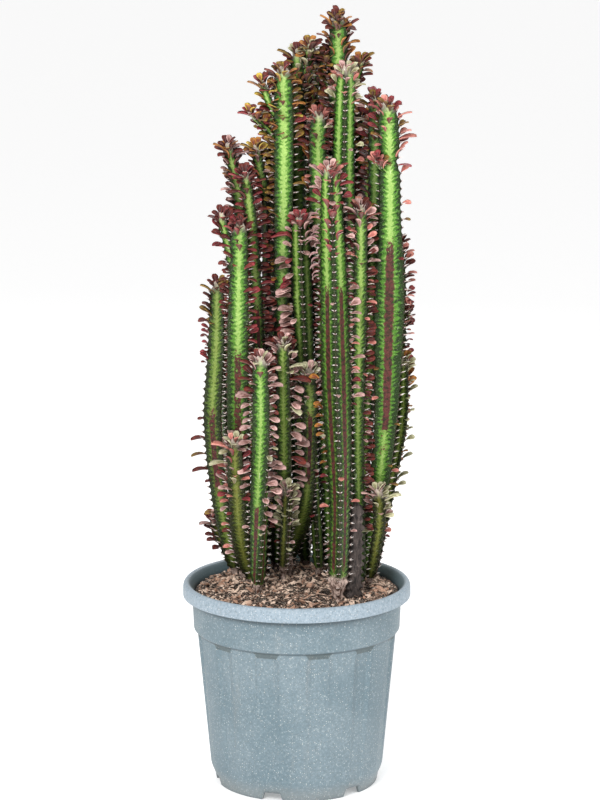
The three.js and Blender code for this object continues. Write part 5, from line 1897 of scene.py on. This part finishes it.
class EUPHORBIA_OT_leaves(bpy.types.Operator):
    """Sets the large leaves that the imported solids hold, and small ones at the areoles"""

    bl_idname = "euphorbia.leaves"
    bl_label = "Leaves"

    def execute(self, context):
        sizes = context.scene.euphorbia_leaves
        broad = ((0.10, 0.09), (0.26, 0.20), (0.46, 0.40), (0.66, 0.50), (0.84, 0.45), (0.95, 0.27))
        narrow = ((0.10, 0.12), (0.26, 0.26), (0.46, 0.42), (0.64, 0.50), (0.82, 0.40), (0.94, 0.20))
        shapes = [
            leaf_shape("broad_leaf", broad, sizes.broad_droop, 0.055),
            leaf_shape("narrow_leaf", narrow, sizes.broad_droop, 0.10),
            leaf_shape("hooked_leaf", narrow, sizes.hook_droop, 0.06),
        ]
        tree, room = leaf_tree(), Room()
        values = {
            "Broad Leaf": shapes[0], "Narrow Leaf": shapes[1], "Hooked Leaf": shapes[2],
            "Size": sizes.size, "Finish": leaf_finish(),
        }
        for plant in CLUMP:
            packed = packed_leaves(plant)
            leaves = packed + small_leaves(plant, room, packed)
            if not leaves:
                continue
            tints = [tint_of(plant, leaf, number) for number, leaf in enumerate(leaves)]
            piece = new_piece(f"{plant.name}_leaves", [leaf["root"] for leaf in leaves])
            turned = [
                (roll_of(leaf, number, plant), -math.radians(leaf["rise"]), math.radians(leaf["heading"]))
                for number, leaf in enumerate(leaves)
            ]
            give(piece, "tilt", turned, "FLOAT_VECTOR")
            give(piece, "grown", [(l["length"], l["width"], l["length"]) for l in leaves], "FLOAT_VECTOR")
            give(piece, "kind", [2.0 if l.get("hook") else float(n % 2) for n, l in enumerate(leaves)])
            give(piece, "root_tint", [pair[0] for pair in tints], "FLOAT_VECTOR")
            give(piece, "tip_tint", [pair[1] for pair in tints], "FLOAT_VECTOR")
            dress(plain_mesh(piece, tree, values), "stem_skin", plant.name)
        discard(*shapes)
        return {"FINISHED"}


class EUPHORBIA_OT_spines(bpy.types.Operator):
    """Sets a pair of spines on every areole"""

    bl_idname = "euphorbia.spines"
    bl_label = "Spines"

    def execute(self, context):
        sizes = context.scene.euphorbia_spines
        pair = spine_shape(sizes.spine, sizes.thick)
        tree = spine_tree()
        values = {"Spine Pair": pair, "Variation": sizes.variation, "Finish": spine_finish()}
        for plant in CLUMP:
            places, turned, grown = [], [], []
            for form in plant.forms:
                for _, along, heading in form.areoles():
                    place = form.beside(along, heading, 1.0)[0]
                    if place[2] < soil_height(place[0], place[1]) + 0.004:
                        continue
                    tip = 1 - float(form.rest(along)[0])
                    places.append(place + polar(-0.0004, heading))
                    turned.append((0.0, -0.15 - 0.9 * tip, math.radians(heading)))
                    grown.append(0.75 + 0.35 * min(float(form.full_reach(along)[0]) / 0.018, 1.2))
            piece = new_piece(f"{plant.name}_spines", places)
            give(piece, "tilt", turned, "FLOAT_VECTOR")
            give(piece, "size", grown)
            give(piece, "kind", np.zeros(len(places)))
            dress(plain_mesh(piece, tree, values), "stem_skin", plant.name)
        discard(pair)
        return {"FINISHED"}


class EUPHORBIA_OT_stage(bpy.types.Operator):
    """Sets the studio floor, its lights and the camera"""

    bl_idname = "euphorbia.stage"
    bl_label = "Studio Stage"

    def execute(self, context):
        sizes, scene = context.scene.euphorbia_stage, context.scene
        corners = [(-1, -1, 0), (1, -1, 0), (1, 1, 0), (-1, 1, 0)]
        floor = new_piece("studio_floor", [FLOOR_HALF * Vector(corner) for corner in corners], [(0, 1, 2, 3)])
        floor.data.materials.append(floor_finish(sizes))
        for name, power, size, place in (
            ("key_light", sizes.key, 1.2, (-1.1, -3.0, 2.4)),
            ("fill_light", sizes.fill, 1.8, (2.4, -1.6, 1.5)),
            ("back_light", sizes.fill, 1.6, (0.4, 2.4, 2.6)),
        ):
            lamp = bpy.data.lights.new(name, "AREA")
            lamp.energy, lamp.size = power, size
            lit = bpy.data.objects.new(name, lamp)
            lit.location = place
            lit.rotation_euler = (LIT_PLACE - Vector(place)).to_track_quat("-Z", "Y").to_euler()
            scene.collection.objects.link(lit)
        world = bpy.data.worlds.new("studio_light")
        world.use_nodes = True
        world.node_tree.nodes["Background"].inputs["Color"].default_value = (1, 1, 1, 1)
        world.node_tree.nodes["Background"].inputs["Strength"].default_value = sizes.ambient
        scene.world = world
        scene.view_settings.view_transform = "Standard"
        camera = bpy.data.objects.new("photo_camera", bpy.data.cameras.new("photo_camera"))
        camera.data.lens, camera.data.sensor_width = sizes.lens, 36
        camera.data.clip_end = 200
        camera.location = CAMERA_PLACE
        camera.rotation_euler = (math.radians(90 - SEEN_DROP), 0, 0)
        scene.collection.objects.link(camera)
        scene.camera = camera
        return {"FINISHED"}


STEPS = (
    EUPHORBIA_OT_stage, EUPHORBIA_OT_pot, EUPHORBIA_OT_soil, EUPHORBIA_OT_stump,
    EUPHORBIA_OT_stems, EUPHORBIA_OT_leaves, EUPHORBIA_OT_spines,
)


class EUPHORBIA_PT_panel(bpy.types.Panel):
    """Lists the pieces and their settings"""

    bl_idname = "EUPHORBIA_PT_panel"
    bl_label = "Potted Euphorbia"
    bl_space_type = "VIEW_3D"
    bl_region_type = "UI"
    bl_category = "Euphorbia"

    def draw(self, context):
        for step in STEPS:
            self.layout.operator(step.bl_idname)
        for label, group in SETTINGS.items():
            box = self.layout.box()
            for name in group.__annotations__:
                box.prop(getattr(context.scene, label), name)


def register():
    for kind in (*SETTINGS.values(), *STEPS, EUPHORBIA_PT_panel):
        bpy.utils.register_class(kind)
    for label, group in SETTINGS.items():
        setattr(bpy.types.Scene, label, bpy.props.PointerProperty(type=group))


def unregister():
    for label in SETTINGS:
        delattr(bpy.types.Scene, label)
    for kind in (EUPHORBIA_PT_panel, *reversed(STEPS), *SETTINGS.values()):
        bpy.utils.unregister_class(kind)


def main():
    """Makes every piece."""
    register()
    for step in STEPS:
        group, name = step.bl_idname.split(".")
        getattr(getattr(bpy.ops, group), name)()
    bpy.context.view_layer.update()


if __name__ == "__main__":
    main()
